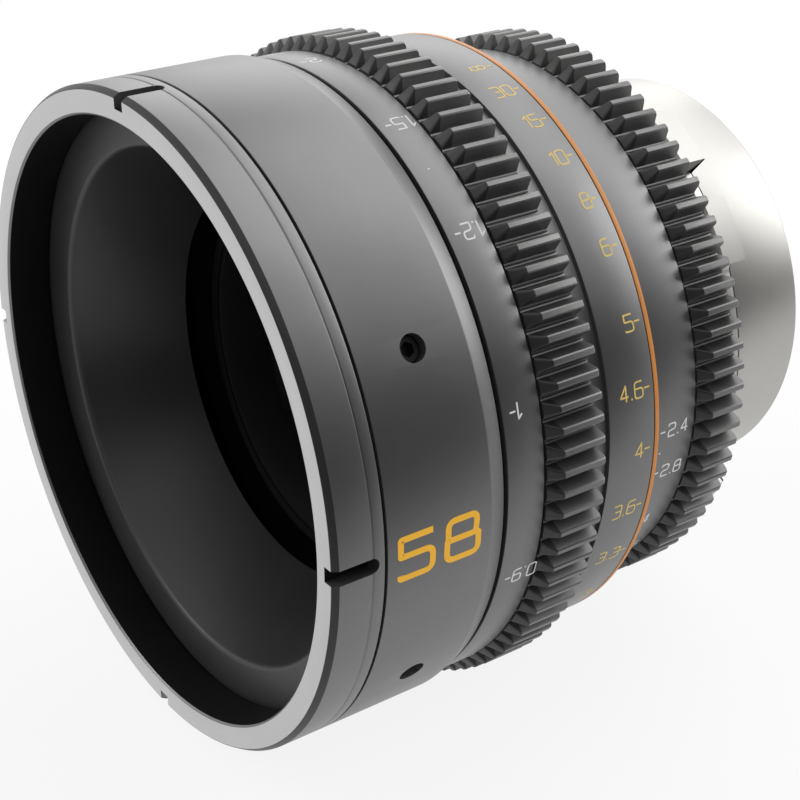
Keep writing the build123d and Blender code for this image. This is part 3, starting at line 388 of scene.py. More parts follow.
def roundTree():
    # geometry nodes that repeat the piece's own mesh round the optical axis
    tree = bpy.data.node_groups.new("repeatRoundAxis", "GeometryNodeTree")
    sockets = {}
    for label, kind, way in (
        ("Geometry", "NodeSocketGeometry", "INPUT"),
        ("Count", "NodeSocketInt", "INPUT"),
        ("First Angle", "NodeSocketFloat", "INPUT"),
        ("Finish", "NodeSocketMaterial", "INPUT"),
        ("Geometry", "NodeSocketGeometry", "OUTPUT"),
    ):
        sockets[(label, way)] = tree.interface.new_socket(label, in_out=way, socket_type=kind).identifier
    link = tree.links.new
    entry = tree.nodes.new("NodeGroupInput")
    line = tree.nodes.new("GeometryNodeMeshLine")
    line.inputs["Offset"].default_value = (0, 0, 0)
    index = tree.nodes.new("GeometryNodeInputIndex")
    share = tree.nodes.new("ShaderNodeMath")
    share.operation = "DIVIDE"
    turn = tree.nodes.new("ShaderNodeMath")
    turn.operation = "MULTIPLY_ADD"
    turn.inputs[1].default_value = -math.tau
    back = tree.nodes.new("ShaderNodeMath")
    back.operation = "MULTIPLY"
    back.inputs[1].default_value = -1.0
    about = tree.nodes.new("ShaderNodeCombineXYZ")
    copies = tree.nodes.new("GeometryNodeInstanceOnPoints")
    real = tree.nodes.new("GeometryNodeRealizeInstances")
    joined = tree.nodes.new("GeometryNodeMergeByDistance")
    joined.inputs["Distance"].default_value = 0.0005 * mm
    paint = tree.nodes.new("GeometryNodeSetMaterial")
    leave = tree.nodes.new("NodeGroupOutput")
    link(entry.outputs["Count"], line.inputs["Count"])
    link(index.outputs[0], share.inputs[0])
    link(entry.outputs["Count"], share.inputs[1])
    link(share.outputs[0], turn.inputs[0])
    link(entry.outputs["First Angle"], back.inputs[0])
    link(back.outputs[0], turn.inputs[2])
    link(turn.outputs[0], about.inputs["Y"])
    link(line.outputs[0], copies.inputs["Points"])
    link(entry.outputs["Geometry"], copies.inputs["Instance"])
    link(about.outputs[0], copies.inputs["Rotation"])
    link(copies.outputs[0], real.inputs[0])
    link(real.outputs[0], joined.inputs[0])
    link(joined.outputs[0], paint.inputs[0])
    link(entry.outputs["Finish"], paint.inputs["Material"])
    link(paint.outputs[0], leave.inputs[0])
    return tree, sockets


repeatTree, repeatSockets = roundTree()


def repeated(piece, count, firstAngle, sharp):
    around = piece.modifiers.new("round", "NODES")
    around.node_group = repeatTree
    around[repeatSockets[("Count", "INPUT")]] = count
    around[repeatSockets[("First Angle", "INPUT")]] = firstAngle
    around[repeatSockets[("Finish", "INPUT")]] = piece.data.materials[0]
    return applied(piece, sharp)


def settle(piece, body, slot, *replaced):
    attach(piece, body)
    if replaced:
        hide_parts(*replaced)


print("front rings")
filterRing = {
    "rear": 60.22, "front": 66.50, "radius": 40.0, "bore": 36.6, "relief": 37.0, "spigot": 38.6,
    "spigotRear": 58.5, "threadEnd": 61.0, "edgeDrop": 0.45, "edgeLength": 0.7, "mouth": 0.35,
    "line": 61.6, "lineDepth": 0.12, "insideRadius": 38.8, "insideFront": 66.2,
    "faceDepth": 0.06, "faceRadius": 39.5, "edgeStart": 65.82,
    "notches": 4, "notchWidth": 1.8, "notchLength": 5.6, "notchFloor": 38.3, "notchReach": 42.0,
}
f = filterRing
piece = turned("filterRing", [
    (f["spigotRear"], f["relief"]), (f["spigotRear"], f["spigot"]), (f["rear"], f["spigot"]),
    (f["rear"], f["radius"]), (f["line"] - f["lineDepth"], f["radius"]),
    (f["line"], f["radius"] - f["lineDepth"]), (f["line"] + f["lineDepth"], f["radius"]),
    (f["front"] - f["edgeLength"], f["radius"]), (f["front"], f["radius"] - f["edgeDrop"]),
    (f["front"], f["bore"] + f["mouth"]), (f["front"] - f["mouth"], f["bore"]),
    (f["threadEnd"], f["bore"]), (f["threadEnd"], f["relief"]),
], anodisedGrey, size=0.08)
half = f["notchWidth"] / 2
notchPlan = [(f["front"] + 1, half), (f["front"] + 1, -half)]
for step in range(13):
    swing = math.pi * step / 12
    station = f["front"] - f["notchLength"] + half - half * math.sin(swing)
    notchPlan.append((station, -half * math.cos(swing)))
notchAngles = [math.tau * notch / f["notches"] for notch in range(f["notches"])]
cut(piece, radialPrisms("notches", notchPlan, f["notchFloor"], f["notchReach"], notchAngles))
zoned(piece, innerBlack, lambda station, radius: radius < f["insideRadius"] and station < f["insideFront"])
zoned(piece, rimGrey, lambda station, radius: (
    station > f["front"] - f["faceDepth"] and radius < f["faceRadius"]))
# painted shade: the outer chamfer of the front edge is made near-black all round
zoned(piece, edgePaintedShade, lambda station, radius: station > f["edgeStart"] and radius > f["faceRadius"])
settle(piece, "barrel", "anodised_grey", "filter_ring")

frontBarrel = {
    "rear": 44.20, "front": 59.85, "radius": 40.0, "bevel": 2.2, "drop": 0.7, "rearBore": 38.4,
    "boreRear": 46.7, "bore": 36.03, "socketRear": 58.4, "socket": 38.63,
    "screw": 52.9, "screwAngles": (30, -30, 150, 210), "screwHole": 1.55, "screwReach": (35.0, 42.0),
}
b = frontBarrel
piece = turned("frontBarrel", [
    (b["rear"], b["rearBore"]), (b["rear"], b["radius"] - b["drop"]), (b["rear"] + b["bevel"], b["radius"]),
    (b["front"], b["radius"]), (b["front"], b["socket"]), (b["socketRear"], b["socket"]),
    (b["socketRear"], b["bore"]), (b["boreRear"], b["bore"]), (b["boreRear"], b["rearBore"]),
], anodisedGrey, size=0.1)
screwAngles = [math.radians(angle) for angle in b["screwAngles"]]
holePlan = roundPlan(b["screw"], b["screwHole"])
cut(piece, radialPrisms("screwHoles", holePlan, *b["screwReach"], screwAngles))
settle(piece, "barrel", "anodised_grey", "front_barrel")

frontSetScrews = {
    "radius": 1.5, "foot": 35.25, "footEdge": 0.3, "footShare": 0.8, "head": 38.9, "headEdge": 0.15,
    "hexagon": 0.85, "depth": 1.2, "ring": 24,
}


def socketScrews(name, station, angles, look, material):
    # grub screws that stand along the radius, with a hexagon socket and a broken edge
    ring, radius, foot, head = [look[key] for key in ("ring", "radius", "foot", "head")]
    swings = [math.tau * step / ring for step in range(ring)]
    sixth = math.pi / 6
    hexagon = [look["hexagon"] * math.cos(sixth) / math.cos(swing % (2 * sixth) - sixth) for swing in swings]
    rows = [
        (foot, [radius * look["footShare"]] * ring), (foot + look["footEdge"], [radius] * ring),
        (head - look["headEdge"], [radius] * ring), (head, [radius - look["headEdge"]] * ring),
        (head, hexagon), (head - look["depth"], hexagon),
    ]
    points, faces = [], []
    for angle in angles:
        out, side = outAndSide(angle)
        first = len(points)
        for height, widths in rows:
            for swing, wide in zip(swings, widths):
                along = Vector((0, wide * math.sin(swing) - station, 0))
                points.append((out * height + side * wide * math.cos(swing) + along) * mm)
        last = first + (len(rows) - 1) * ring
        for low in range(first, last, ring):
            wall(faces, low, low + ring, ring)
        faces.append([first + step for step in range(ring)][::-1])
        faces.append([last + step for step in range(ring)])
    return newPiece(name, points, faces, material, 35.0)


piece = socketScrews("frontSetScrews", b["screw"], screwAngles, frontSetScrews, blackSteel)
settle(piece, "barrel", "black_steel", "front_set_screws")

frontBaffle = {
    "rear": 46.70, "rearBore": 25.0, "rearRadius": 26.24, "step": 58.40, "stepRadius": 32.18,
    "front": 60.50, "rim": 36.97, "ledge": 59.6, "ledgeRadius": 36.9,
    "mouth": [(60.42, 36.2), (60.14, 32.3), (60.02, 32.0), (59.8, 31.82), (59.5, 31.7)],
}
b = frontBaffle
piece = turned("frontBaffle", [
    (b["rear"], b["rearBore"]), (b["rear"], b["rearRadius"]), (b["step"], b["stepRadius"]),
    (b["step"], b["rim"]), (b["front"], b["rim"]), *b["mouth"],
], coneBlack, size=0.04)
# painted light: the forward-facing ledge and mouth of the baffle get a lighter grey than its black cone
zoned(piece, ledgePaintedLight, lambda station, radius: station > b["ledge"] and radius < b["ledgeRadius"])
settle(piece, "barrel", "black_anodised", "front_baffle")

print("focus group")
metreScaleRing = {"rear": 38.45, "front": 43.50, "bore": 38.03, "radius": 39.2}
m = metreScaleRing
piece = turned("metreScaleRing", [
    (m["rear"], m["bore"]), (m["rear"], m["radius"]), (m["front"], m["radius"]), (m["front"], m["bore"]),
], anodisedGrey, size=0.15)
settle(piece, "focus", "anodised_grey", "metre_scale_ring")

focusRing = {
    "rear": 21.70, "front": 43.50, "bore": 36.05, "radius": 38.6, "gearSeat": 38.0,
    "groove": 28.50, "grooveEnd": 30.90, "grooveRadius": 37.9,
}
f = focusRing
piece = turned("focusRing", [
    (f["rear"], f["bore"]), (f["rear"], f["radius"]), (f["groove"], f["radius"]),
    (f["groove"], f["grooveRadius"]), (f["grooveEnd"], f["grooveRadius"]), (f["grooveEnd"], f["gearSeat"]),
    (f["front"], f["gearSeat"]), (f["front"], f["bore"]),
], anodisedGrey, size=0.15)
settle(piece, "focus", "anodised_grey", "focus_ring")


def gearBand(name, look):
    # one tooth with half a slot on each side of it, repeated round the axis
    pitchRadius = look["module"] * look["teeth"] / 2
    tip = pitchRadius + look["module"]
    rootRadius = pitchRadius - 1.25 * look["module"]
    slope = math.tan(math.radians(look["flank"]))
    halfStep = math.pi / look["teeth"]

    def flankAt(radius):
        return (math.pi * look["module"] / 4 - (radius - pitchRadius) * slope) / radius

    def column(limit):
        corner = look["corner"]
        top = min(tip, limit)
        row = [(0.0, top), (flankAt(top) * 0.5, top), (flankAt(top) - corner / top, top)]
        for share in (0.0, 0.33, 0.66, 1.0):
            radius = top - corner + (rootRadius - top + corner) * share
            row.append((flankAt(radius), radius))
        rootAngle = flankAt(rootRadius)
        for step in range(1, 5):
            swing = math.pi / 2 * step / 4
            row.append((rootAngle + (halfStep - rootAngle) * math.sin(swing),
                        rootRadius - look["dip"] * (1 - math.cos(swing))))
        return [(-angle, radius) for angle, radius in row[:0:-1]] + row

    rear, front, edge, blend = [look[key] for key in ("rear", "front", "edge", "blend")]
    bevelStart = front - look["bevel"]
    levels = [
        (rear, tip - edge), (rear + edge * 0.3, tip - edge * 0.3), (rear + edge, tip),
        (bevelStart - blend, tip), (bevelStart + blend, tip - look["blendDrop"]),
        (front, rootRadius + look["foot"]),
    ]
    columns = [column(limit) for station, limit in levels]
    points, faces = [], []
    loop = len(levels) + 2
    for spot in range(len(columns[0])):
        angle = columns[-1][spot][0]
        points.append(point(rear, look["bore"], angle))
        for (station, limit), row in zip(levels, columns):
            points.append(point(station, row[spot][1], row[spot][0]))
        points.append(point(front, look["bore"], angle))
    for spot in range(len(columns[0]) - 1):
        wall(faces, (spot + 1) * loop, spot * loop, loop)
    mesh = bpy.data.meshes.new(name)
    mesh.from_pydata(points, [], faces)
    mesh.materials.append(gearGrey)
    tooth = bpy.data.objects.new(name, mesh)
    scene.collection.objects.link(tooth)
    band = repeated(tooth, look["teeth"], 0.0, 32.0)
    # painted shade: the long bevel at the front of each tooth gets a darker grey than its top, for the shade
    # it falls in under the light from behind
    zoned(band, bevelPaintedShade, lambda station, radius: (
        bevelStart < station < front - look["bevelFront"] and radius > rootRadius + look["bevelFoot"]))
    return band


gearLook = {
    "module": 0.8, "flank": 18.0, "edge": 0.35, "corner": 0.12, "dip": 0.14, "foot": 0.25,
    "bevel": 1.2, "blend": 0.08, "blendDrop": 0.1, "bevelFront": 0.2, "bevelFoot": 0.1,
}
focusGear = dict(gearLook, teeth=100, rear=30.90, front=38.10, bore=38.03)
settle(gearBand("focusGear", focusGear), "focus", "anodised_grey", "focus_gear")

print("iris group")
indexRing = {"rear": 21.0, "front": 21.6, "bore": 33.38, "radius": 38.6, "paintDepth": 0.1}
i = indexRing
piece = turned("indexRing", [
    (i["rear"], i["bore"]), (i["rear"], i["radius"]), (i["front"], i["radius"]), (i["front"], i["bore"]),
], orangePaint, size=0.06)
zoned(piece, anodisedGrey, lambda station, radius: radius < i["radius"] - i["paintDepth"])
settle(piece, "barrel", "orange_paint", "index_ring")

irisRing = {"rear": 5.0, "front": 20.9, "bore": 33.4, "gearSeat": 34.2, "seatEnd": 11.9, "radius": 35.2}
i = irisRing
piece = turned("irisRing", [
    (i["rear"], i["bore"]), (i["rear"], i["gearSeat"]), (i["seatEnd"], i["gearSeat"]),
    (i["seatEnd"], i["radius"]), (i["front"], i["radius"]), (i["front"], i["bore"]),
], anodisedGrey, size=0.15)
settle(piece, "iris_control", "anodised_grey", "iris_ring")

irisGear = dict(gearLook, teeth=90, rear=5.30, front=11.70, bore=34.23)
settle(gearBand("irisGear", irisGear), "iris_control", "anodised_grey", "iris_gear")

print("mount")
lensMount = {
    "rear": -14.5, "rearEdge": 0.4, "throat": 27.0, "bore": 24.6, "pocket": 25.6, "pocketDepth": 1.1,
    "base": 30.75, "thick": 4.0, "overlap": 0.6, "shoulder": 0.1, "edge": 0.3, "footEdge": 0.25,
    "wings": 4, "wing": 34.0, "wingSpan": 36.0, "slot": 5.1, "fillet": 1.2,
    "screws": 8, "screwCircle": 28.875, "screwHole": 1.55, "screwReach": (-1.0, 2.0),
    "rimLine": -14.05, "rimRadius": 26.55, "wingLine": 0.28, "wingLineRadius": 30.0, "insideRadius": 25.7,
}


def arcAt(radius, start, end, steps):
    return [(radius, start + (end - start) * step / steps) for step in range(steps + 1)]


def mountOutline(look):
    # the flange seen along the axis: wings with a slot each, and round fillets at their feet
    base, wing, fillet = [look[key] for key in ("base", "wing", "fillet")]
    halfWing = math.radians(look["wingSpan"] / 2)
    between = math.tau / look["wings"]
    footReach = math.sqrt((base + fillet) ** 2 - fillet ** 2)
    side = []
    for step in range(9):  # from the base circle up to the wing's side
        swing = math.pi / 2 * step / 8
        x, y = footReach - fillet * math.cos(swing), fillet * math.sin(swing) - fillet
        side.append((max(math.hypot(x, y), base), math.atan2(y, x)))
    slotTop, slotFoot = [math.asin(look["slot"] / 2 / radius) for radius in (wing, base)]
    corners = []
    for turn in range(look["wings"]):
        middle = (turn + 0.5) * between
        first, last = middle - halfWing, middle + halfWing
        corners += [(radius, first + off) for radius, off in side]
        corners += arcAt(wing, first, middle - slotTop, 12)
        corners += arcAt(base, middle - slotFoot, middle + slotFoot, 5)
        corners += arcAt(wing, middle + slotTop, last, 12)
        corners += [(radius, last - off) for radius, off in side[::-1]]
        corners += arcAt(base, last - side[0][1], first + between + side[0][1], 40)[1:-1]
    return corners


def mountHoles(look):
    # cutters along the axis for the countersunk screw heads
    points, faces = [], []
    ring = 32
    for hole in range(look["screws"]):
        centre = outAndSide(math.tau * (hole + 0.5) / look["screws"])[0] * look["screwCircle"]
        first = len(points)
        for station in look["screwReach"]:
            for step in range(ring):
                spot = centre + outAndSide(math.tau * step / ring)[0] * look["screwHole"]
                points.append((spot + Vector((0, -station, 0))) * mm)
        faces.append([first + step for step in range(ring)])
        faces.append([first + ring + step for step in range(ring)][::-1])
        wall(faces, first, first + ring, ring)
    return newPiece("mountHoles", points, faces, mountSteel)


def joinInto(piece, other):
    # adds the other piece's faces to the first one's mesh
    shell = bmesh.new()
    shell.from_mesh(piece.data)
    shell.from_mesh(other.data)
    shell.to_mesh(piece.data)
    shell.free()
    bpy.data.objects.remove(other)


def mountPiece(look):
    outline = mountOutline(look)
    rear, throat, base, thick, edge = [look[key] for key in ("rear", "throat", "base", "thick", "edge")]
    inner, footEdge = throat - look["overlap"], look["footEdge"]
    levels = [(0.0, edge), (edge, 0.0), (thick - edge, 0.0), (thick, edge)]
    points, faces = [], []
    rows = len(levels) + 2
    for radius, angle in outline:
        points.append(point(0.0, inner, angle))
        share = min(1.0, max(0.0, (radius - base) / (look["wing"] - base)))
        for station, drop in levels:
            points.append(point(station, radius - drop * (footEdge + (1 - footEdge) * share), angle))
        points.append(point(thick, inner, angle))
    for index in range(len(outline)):
        wall(faces, index * rows, (index + 1) % len(outline) * rows, rows)
    flange = newPiece("lensMount", points, faces, mountSteel, 28.0)
    cut(flange, mountHoles(look))
    shoulder, pocketEnd = thick - look["shoulder"], rear + look["pocketDepth"]
    joinInto(flange, turned("throat", [
        (rear, look["pocket"]), (rear, throat - look["rearEdge"]), (rear + look["rearEdge"], throat),
        (shoulder, throat), (shoulder, look["bore"]), (pocketEnd, look["bore"]), (pocketEnd, look["pocket"]),
    ], mountSteel, size=0.1))
    smoothed(flange, 28.0)
    return flange


m = lensMount
piece = mountPiece(m)
zoned(piece, blackSteel, lambda station, radius: station < m["rimLine"] and radius > m["rimRadius"])
zoned(piece, blackSteel, lambda station, radius: 0 < station < m["wingLine"] and radius > m["wingLineRadius"])
zoned(piece, innerBlack, lambda station, radius: radius < m["insideRadius"])
settle(piece, "barrel", "mount_steel", "lens_mount")

rearBaffle = {
    "rear": -14.30, "rearBore": 23.5, "rim": 25.57, "rimEnd": -13.40, "coneRadius": 24.5,
    "front": -8.90, "frontRadius": 18.6, "frontBore": 17.6,
}
b = rearBaffle
piece = turned("rearBaffle", [
    (b["rear"], b["rearBore"]), (b["rear"], b["rim"]), (b["rimEnd"], b["rim"]),
    (b["rimEnd"], b["coneRadius"]), (b["front"], b["frontRadius"]), (b["front"], b["frontBore"]),
], innerBlack, size=0.08)
settle(piece, "barrel", "black_anodised", "rear_baffle")

print("glass")


def sagAt(curve, radius):
    return math.copysign(abs(curve) - math.sqrt(curve * curve - radius * radius), curve)


def lensPiece(name, look, steps=24):
    # a lens from half its outline: the front face, the rim and the rear face
    clear = look["clear"]

    def faceAt(station, curve, step):
        radius = clear * step / steps
        return (station + sagAt(curve, clear) - sagAt(curve, radius), radius)

    outline = [faceAt(look["front"], look["frontCurve"], step) for step in range(steps + 1)]
    outline += [(look["front"], look["rim"]), (look["rear"], look["rim"]), (look["rear"], clear)]
    outline += [faceAt(look["rear"], look["rearCurve"], step) for step in range(steps - 1, -1, -1)]
    return turned(name, outline, coatedGlass, size=0, steps=240, sharp=30.0)


frontElement = {
    "front": 37.48, "rear": 34.98, "rim": 21.5, "clear": 20.6, "frontCurve": 45.0, "rearCurve": 120.0,
}
settle(lensPiece("frontElement", frontElement), "front_group", "coated_glass", "front_element")
sixthElement = {
    "front": -1.67, "rear": -3.87, "rim": 16.5, "clear": 15.6, "frontCurve": 80.0, "rearCurve": -50.0,
}
settle(lensPiece("sixthElement", sixthElement), "barrel", "coated_glass", "sixth_element")

frontRetainer = {
    "rear": 37.48, "bore": 20.6, "seat": 21.5, "lip": 37.83, "radius": 23.17, "front": 42.78, "mouth": 22.4,
}
r = frontRetainer
piece = turned("frontRetainer", [
    (r["rear"], r["bore"]), (r["rear"], r["seat"]), (r["lip"], r["seat"]), (r["lip"], r["radius"]),
    (r["front"], r["radius"]), (r["front"], r["mouth"]),
], innerBlack, size=0.08, steps=360)
settle(piece, "front_group", "black_anodised", "front_retainer")

print("finishes of the pieces inside")
insideFinish = {
    "mount_screws": brightSteel, "flange_shim": shimBrass, "main_barrel": satinBlack,
    "focus_retainer": satinBlack,
    "focus_stop_pin": brightSteel, "focus_followers": brightSteel, "front_cell": innerBlack,
    "front_spacer": innerBlack, "second_element": coatedGlass, "third_element": coatedGlass,
    "iris_housing": innerBlack, "iris_retaining_ring": satinBlack, "iris_clamp_ring": satinBlack,
    "iris_cam_ring": satinBlack, "iris_drive_pin": brightSteel, "rear_cell": innerBlack,
    "rear_cell_screws": blackSteel, "rear_spacer": innerBlack, "rear_retainer": innerBlack,
    "fourth_element": coatedGlass, "fifth_element": coatedGlass,
}
insideMesh = {"blades": 9, "weld": 0.001, "sharp": 28}
for blade in range(insideMesh["blades"]):
    insideFinish["iris_blade_" + str(blade + 1)] = bladeSteel
for node, material in insideFinish.items():
    kept = nodes[node]
    kept.data.materials.clear()
    kept.data.materials.append(material)
    for face in kept.data.polygons:
        face.material_index = 0
        face.use_smooth = True
    weld = kept.modifiers.new("weld", "WELD")
    weld.merge_threshold = insideMesh["weld"] * mm
    split = kept.modifiers.new("split", "EDGE_SPLIT")
    split.split_angle = math.radians(insideMesh["sharp"])

print("scales")
# each character is its width and its strokes in a cell one unit high
# a stroke is its points, each with a corner radius, and whether it closes
w, r = 0.62, 0.2
strokes = {
    "0": (w, [([(0, 0, r), (w, 0, r), (w, 1, r), (0, 1, r)], True)]),
    "1": (0.26, [([(0, 0.74, 0), (0.26, 1.0, 0.02), (0.26, 0, 0)], False)]),
    "2": (w, [([(0, 0.82, 0), (0, 1, 0.14), (w, 1, r), (w, 0.52, r), (0, 0.46, r), (0, 0, 0.02),
                (w, 0, 0)], False)]),
    "3": (w, [([(0, 1, 0), (w, 1, r), (w, 0, r), (0, 0, 0)], False),
              ([(0.16, 0.52, 0), (w, 0.52, 0)], False)]),
    "4": (w, [([(w * 0.72, 0, 0), (w * 0.72, 1, 0.02), (0, 0.3, 0.02), (w, 0.3, 0)], False)]),
    "5": (w, [([(w, 1, 0), (0, 1, 0.03), (0, 0.57, 0.03), (w, 0.57, r), (w, 0, r), (0, 0, 0.1),
                (0, 0.1, 0)], False)]),
    "6": (w, [([(w * 0.94, 1, 0), (0, 1, r), (0, 0, r), (w, 0, r), (w, 0.58, r), (0, 0.58, 0)], False)]),
    "8": (w, [([(0.06, 0.52, 0), (w - 0.06, 0.52, 0.1), (w - 0.02, 1, r), (0.02, 1, r),
                (0.02, 0.56, 0.1)], False),
              ([(0.02, 0.56, 0), (0, 0.5, 0.03), (0, 0, r), (w, 0, r), (w, 0.5, 0.06),
                (w - 0.06, 0.52, 0)], False)]),
    "9": (w, [([(w * 0.06, 0, 0), (w, 0, r), (w, 1, r), (0, 1, r), (0, 0.42, r), (w, 0.42, 0)], False)]),
    "i": (1.1, [([(0, 0.28, r), (0.5, 0.28, r), (0.5, 0.76, r), (0, 0.76, r)], True),
                ([(0.5, 0.28, r), (1.0, 0.28, r), (1.0, 0.76, r), (0.5, 0.76, r)], True)]),
    ".": (0.12, [([(0, 0.05, 0), (0.12, 0.05, 0)], False)]),
}
ink = {"sunk": 0.02, "thick": 0.035, "leastCorner": 0.01, "cornerSteps": 6, "spacing": 0.08, "tickSteps": 4}


def rounded(corners, closed):
    # a polyline with its corners taken round, as dense points
    path = []
    count = len(corners)
    spots = [Vector(corner[:2]) for corner in corners]
    for index, here in enumerate(spots):
        if not closed and index in (0, count - 1):
            path.append(here)
            continue
        before = spots[index - 1] - here
        after = spots[(index + 1) % count] - here
        reach = min(corners[index][2], before.length * 0.49, after.length * 0.49)
        if reach < ink["leastCorner"]:
            path.append(here)
            continue
        first, last = here + before.normalized() * reach, here + after.normalized() * reach
        for step in range(ink["cornerSteps"] + 1):
            share = step / ink["cornerSteps"]
            path.append(first * (1 - share) ** 2 + here * 2 * share * (1 - share) + last * share ** 2)
    dense = []
    for first, last in zip(path, path[1:] + path[:1] if closed else path[1:]):
        pieces = max(1, math.ceil((last - first).length / ink["spacing"]))
        dense += [first.lerp(last, step / pieces) for step in range(pieces)]
    return dense if closed else dense + [path[-1]]


def ribbon(path, width, closed, toRing, points, faces):
    # a closed raised ribbon along a path, wrapped on its ring
    count = len(path)
    first = len(points)
    for index, here in enumerate(path):
        before = path[index - 1] if closed or index else here
        after = path[(index + 1) % count] if closed or index < count - 1 else here
        line = (after - before).normalized()
        across = Vector((-line.y, line.x)) * width / 2
        for side, lift in ((-1, 0), (-1, 1), (1, 1), (1, 0)):
            points.append(toRing(here + across * side, lift))
    for index in range(count if closed else count - 1):
        wall(faces, first + 4 * index, first + 4 * ((index + 1) % count), 4)
    if not closed:
        last = first + 4 * (count - 1)
        faces.append([first, first + 1, first + 2, first + 3])
        faces.append([last + 3, last + 2, last + 1, last])


def lettering(name, look, marks, material):
    # marks are (text, angle, tick): the text reads along the axis, the tick points at the index
    points, faces = [], []
    height, radius, wide, gap = [look[key] for key in ("height", "radius", "wide", "gap")]
    away = look["reads"]  # 1 reads from front to rear, -1 from rear to front

    def raised(station, lift, swing):
        return point(station, radius - ink["sunk"] + ink["thick"] * lift, swing)

    for text, angle, tick in marks:
        cells = [strokes[mark] for mark in text]
        length = sum(cell[0] * wide for cell in cells) + gap * (len(cells) - 1)
        cursor = look["station"] / height - (length if look["align"] == "end" else 0)
        for cell in cells:
            for corners, closed in cell[1]:
                path = rounded([(x * wide, y, turn) for x, y, turn in corners], closed)

                def toRing(spot, lift, cursor=cursor):
                    swing = math.radians(angle) + away * (spot.y - 0.5) * height / radius
                    return raised(away * -(cursor + spot.x) * height, lift, swing)

                ribbon(path, look["stroke"] / height, closed, toRing, points, faces)
            cursor += cell[0] * wide + gap
        if tick:
            start, end = [Vector((station, 0)) for station in tick]
            path = [start.lerp(end, step / ink["tickSteps"]) for step in range(ink["tickSteps"] + 1)]

            def toRing(spot, lift):
                return raised(spot.x, lift, math.radians(angle) + spot.y / radius)

            ribbon(path, look["stroke"], False, toRing, points, faces)
    return newPiece(name, points, faces, material, 40.0)


front = 66.5  # the front edge, from which the places of the marks are taken
focalNumber = {
    "wide": 1.4, "height": 4.75, "stroke": 0.75, "radius": 40.0, "gap": 0.39, "reads": 1, "align": "start",
    "station": -(front - 8.27),
}
piece = lettering("focalNumber", focalNumber, [("58", -0.9, None)], amberPaint)
settle(piece, "barrel", "orange_paint")

scaleLook = {"wide": 1.0, "stroke": 0.2, "gap": 0.2, "reads": 1, "align": "end"}
metreScale = dict(scaleLook, height=1.85, radius=39.2, reads=-1, station=front - 25.1)
tick = (front - 24.0, front - 24.75)
piece = lettering("metreScale", metreScale, [
    ("1.5", 67, tick), (".", 55.5, None), ("1.2", 44.8, tick), ("1", 15.8, tick), ("0.9", -14.9, tick),
    ("2", 92, tick), ("3", 104, tick), ("i", 121, tick), ("0.8", -47, tick),
], whitePaint)
settle(piece, "focus", "anodised_grey")

feetScale = dict(scaleLook, height=1.9, radius=38.6, station=-(front - 43.15))
tick = (front - 43.35, front - 44.15)
piece = lettering("feetScale", feetScale, [
    ("i", 77.6, tick), ("30", 69.9, tick), ("15", 61.7, tick), ("10", 53.4, tick), ("8", 44.8, tick),
    ("6", 36.3, tick), ("5", 23.3, tick), ("4.6", 11.9, tick), ("4", 0.8, tick), ("3.6", -10.7, tick),
    ("3.3", -22, tick), ("3", -36, tick), ("2.8", -52, tick), ("2.6", -70, tick), ("2.5", -88, tick),
], yellowPaint)
settle(piece, "focus", "orange_paint")

apertureScale = dict(scaleLook, height=1.7, radius=35.2, gap=0.22, align="start", station=-(front - 50.5))
tick, dot = (front - 49.2, front - 49.95), (front - 49.35, front - 49.6)
piece = lettering("apertureScale", apertureScale, [
    ("2.4", -1.4, tick), ("", -6.1, dot), ("2.8", -10.9, tick), ("4", -24.7, tick), ("5.6", -36.7, tick),
    ("8", -46.7, tick), ("11", -54.7, tick), ("16", -60.7, tick), ("22", -66, tick),
], whitePaint)
settle(piece, "iris_control", "anodised_grey")

print("floor and light")
studio = {
    "floorHeight": -0.0408,
    "floorReach": 6.0,
    "paper": (0.90, 0.90, 0.905, 1.0),
    "paperHigh": (0.93, 0.93, 0.935, 1.0),
    "paperGrain": 60.0,
    "paperGlow": 0.86,  # the share of plain white near the object, where the rest shows its shadow
    "paperReach": (0.12, 0.42),  # where that share starts and ends its rise to all of it
    "paperSide": (0.95, 0.3),  # reflections see the paper darken to the right and the front
    "paperFade": (0.08, 0.19),
    "paperDark": 0.10,
    "worldOnMatt": 0.5,
    "flagRadius": 0.65,
    "flagHeight": (-0.0408, 0.52),
    "flagBlend": (0.20, 0.52),
    "flagTones": (0.02, 0.7),
    "flagSwing": (-125.0, 54.0),
    "flagSteps": 64,
    "lamps": [
        # name, place, size across and along, watts, colour
        ("softboxAbove", (-0.02, 0.45, 0.75), (0.7, 0.7), 2.1, (1.0, 1.0, 1.0)),
        ("keyRearLeft", (-0.62, 0.46, 0.42), (0.6, 0.6), 1.6, (1.0, 1.0, 1.0)),
        ("keyRear", (0.30, 0.80, 0.38), (0.5, 0.5), 2.6, (1.0, 1.0, 1.0)),
        ("fillLeft", (-0.45, -0.65, 0.42), (0.35, 0.35), 2.2, (1.0, 0.99, 0.98)),
    ],
    "target": (0.0, -0.02, 0.0),
}
plainWhite = (1, 1, 1, 1)


def stageMesh(name, points, faces, material):
    mesh = bpy.data.meshes.new(name)
    mesh.from_pydata(points, [], faces)
    mesh.materials.append(material)
    item = bpy.data.objects.new(name, mesh)
    scene.collection.objects.link(item)
    return item


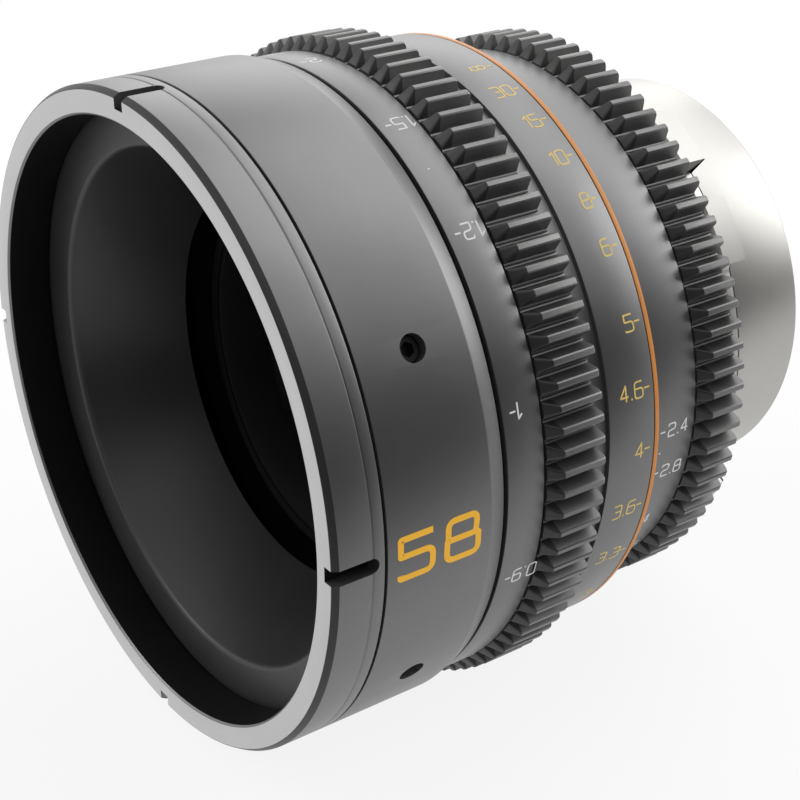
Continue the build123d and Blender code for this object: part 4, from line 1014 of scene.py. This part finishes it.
paper = Finish(bpy.data.materials.new("paper"))
place = paper.place()
x, y, z = paper.parts(place)
grain = paper.noise(place, studio["paperGrain"], 3.0, 0.5)
matt = paper.add("ShaderNodeBsdfDiffuse", None, {
    "Color": paper.mixed(grain, studio["paper"], studio["paperHigh"]),
})
seen, glossy, through = paper.rays()
fade = (x * x + y * y).root().ramped(*studio["paperReach"])
glow = (studio["paperGlow"] + fade * (1 - studio["paperGlow"])) * (seen + glossy + through).clipped()
outward = paper.blended(glow, matt, paper.glowing(plainWhite, 1.0))
acrossShare, alongShare = studio["paperSide"]
inward = (x * acrossShare - y * alongShare).ramped(*studio["paperFade"]) * glossy
paperMaterial = paper.finish(paper.blended(inward, outward, paper.glowing(plainWhite, studio["paperDark"])))
reach, height = studio["floorReach"], studio["floorHeight"]
floorPlan = ((-reach, -reach), (reach, -reach), (reach, reach), (-reach, reach))
stageMesh("floor", [(x, y, height) for x, y in floorPlan], [(0, 1, 2, 3)], paperMaterial)

# a dark flag beside the set, seen in reflections alone, gives round metal its dark line at the horizon
flag = Finish(bpy.data.materials.new("flag"))
climb = flag.parts(flag.place())[2].ramped(*studio["flagBlend"])
tone = flag.mixed(climb, *[grey(tone) for tone in studio["flagTones"]])
flagMaterial = flag.finish(flag.glowing(tone, 1.0))
points, faces, steps = [], [], studio["flagSteps"]
start, stop = [math.radians(angle) for angle in studio["flagSwing"]]
for level in studio["flagHeight"]:
    for step in range(steps + 1):
        out = outAndSide(start + (stop - start) * step / steps)[0] * studio["flagRadius"]
        points.append((out.x, out.z, level))
for step in range(steps):
    faces.append((step, step + 1, steps + step + 2, steps + step + 1))
ring = stageMesh("flag", points, faces, flagMaterial)
ring.visible_camera = False
ring.visible_diffuse = False
ring.visible_transmission = False
ring.visible_shadow = False

sky = Finish(bpy.data.worlds.new("studio"))
seen, glossy, through = sky.rays()
strength = studio["worldOnMatt"] + (1 - studio["worldOnMatt"]) * (seen + glossy + through).clipped()
background = sky.add("ShaderNodeBackground", None, {"Color": plainWhite, "Strength": strength})
scene.world = sky.finish(background, "ShaderNodeOutputWorld")

for name, place, (across, along), watts, colour in studio["lamps"]:
    lamp = bpy.data.lights.new(name, "AREA")
    lamp.shape = "RECTANGLE"
    lamp.size, lamp.size_y = across, along
    lamp.energy = watts
    lamp.color = colour
    holder = bpy.data.objects.new(name, lamp)
    holder.location = place
    holder.rotation_euler = (Vector(studio["target"]) - Vector(place)).to_track_quat("-Z", "Y").to_euler()
    scene.collection.objects.link(holder)

scene.view_settings.view_transform = "Standard"
print("done")
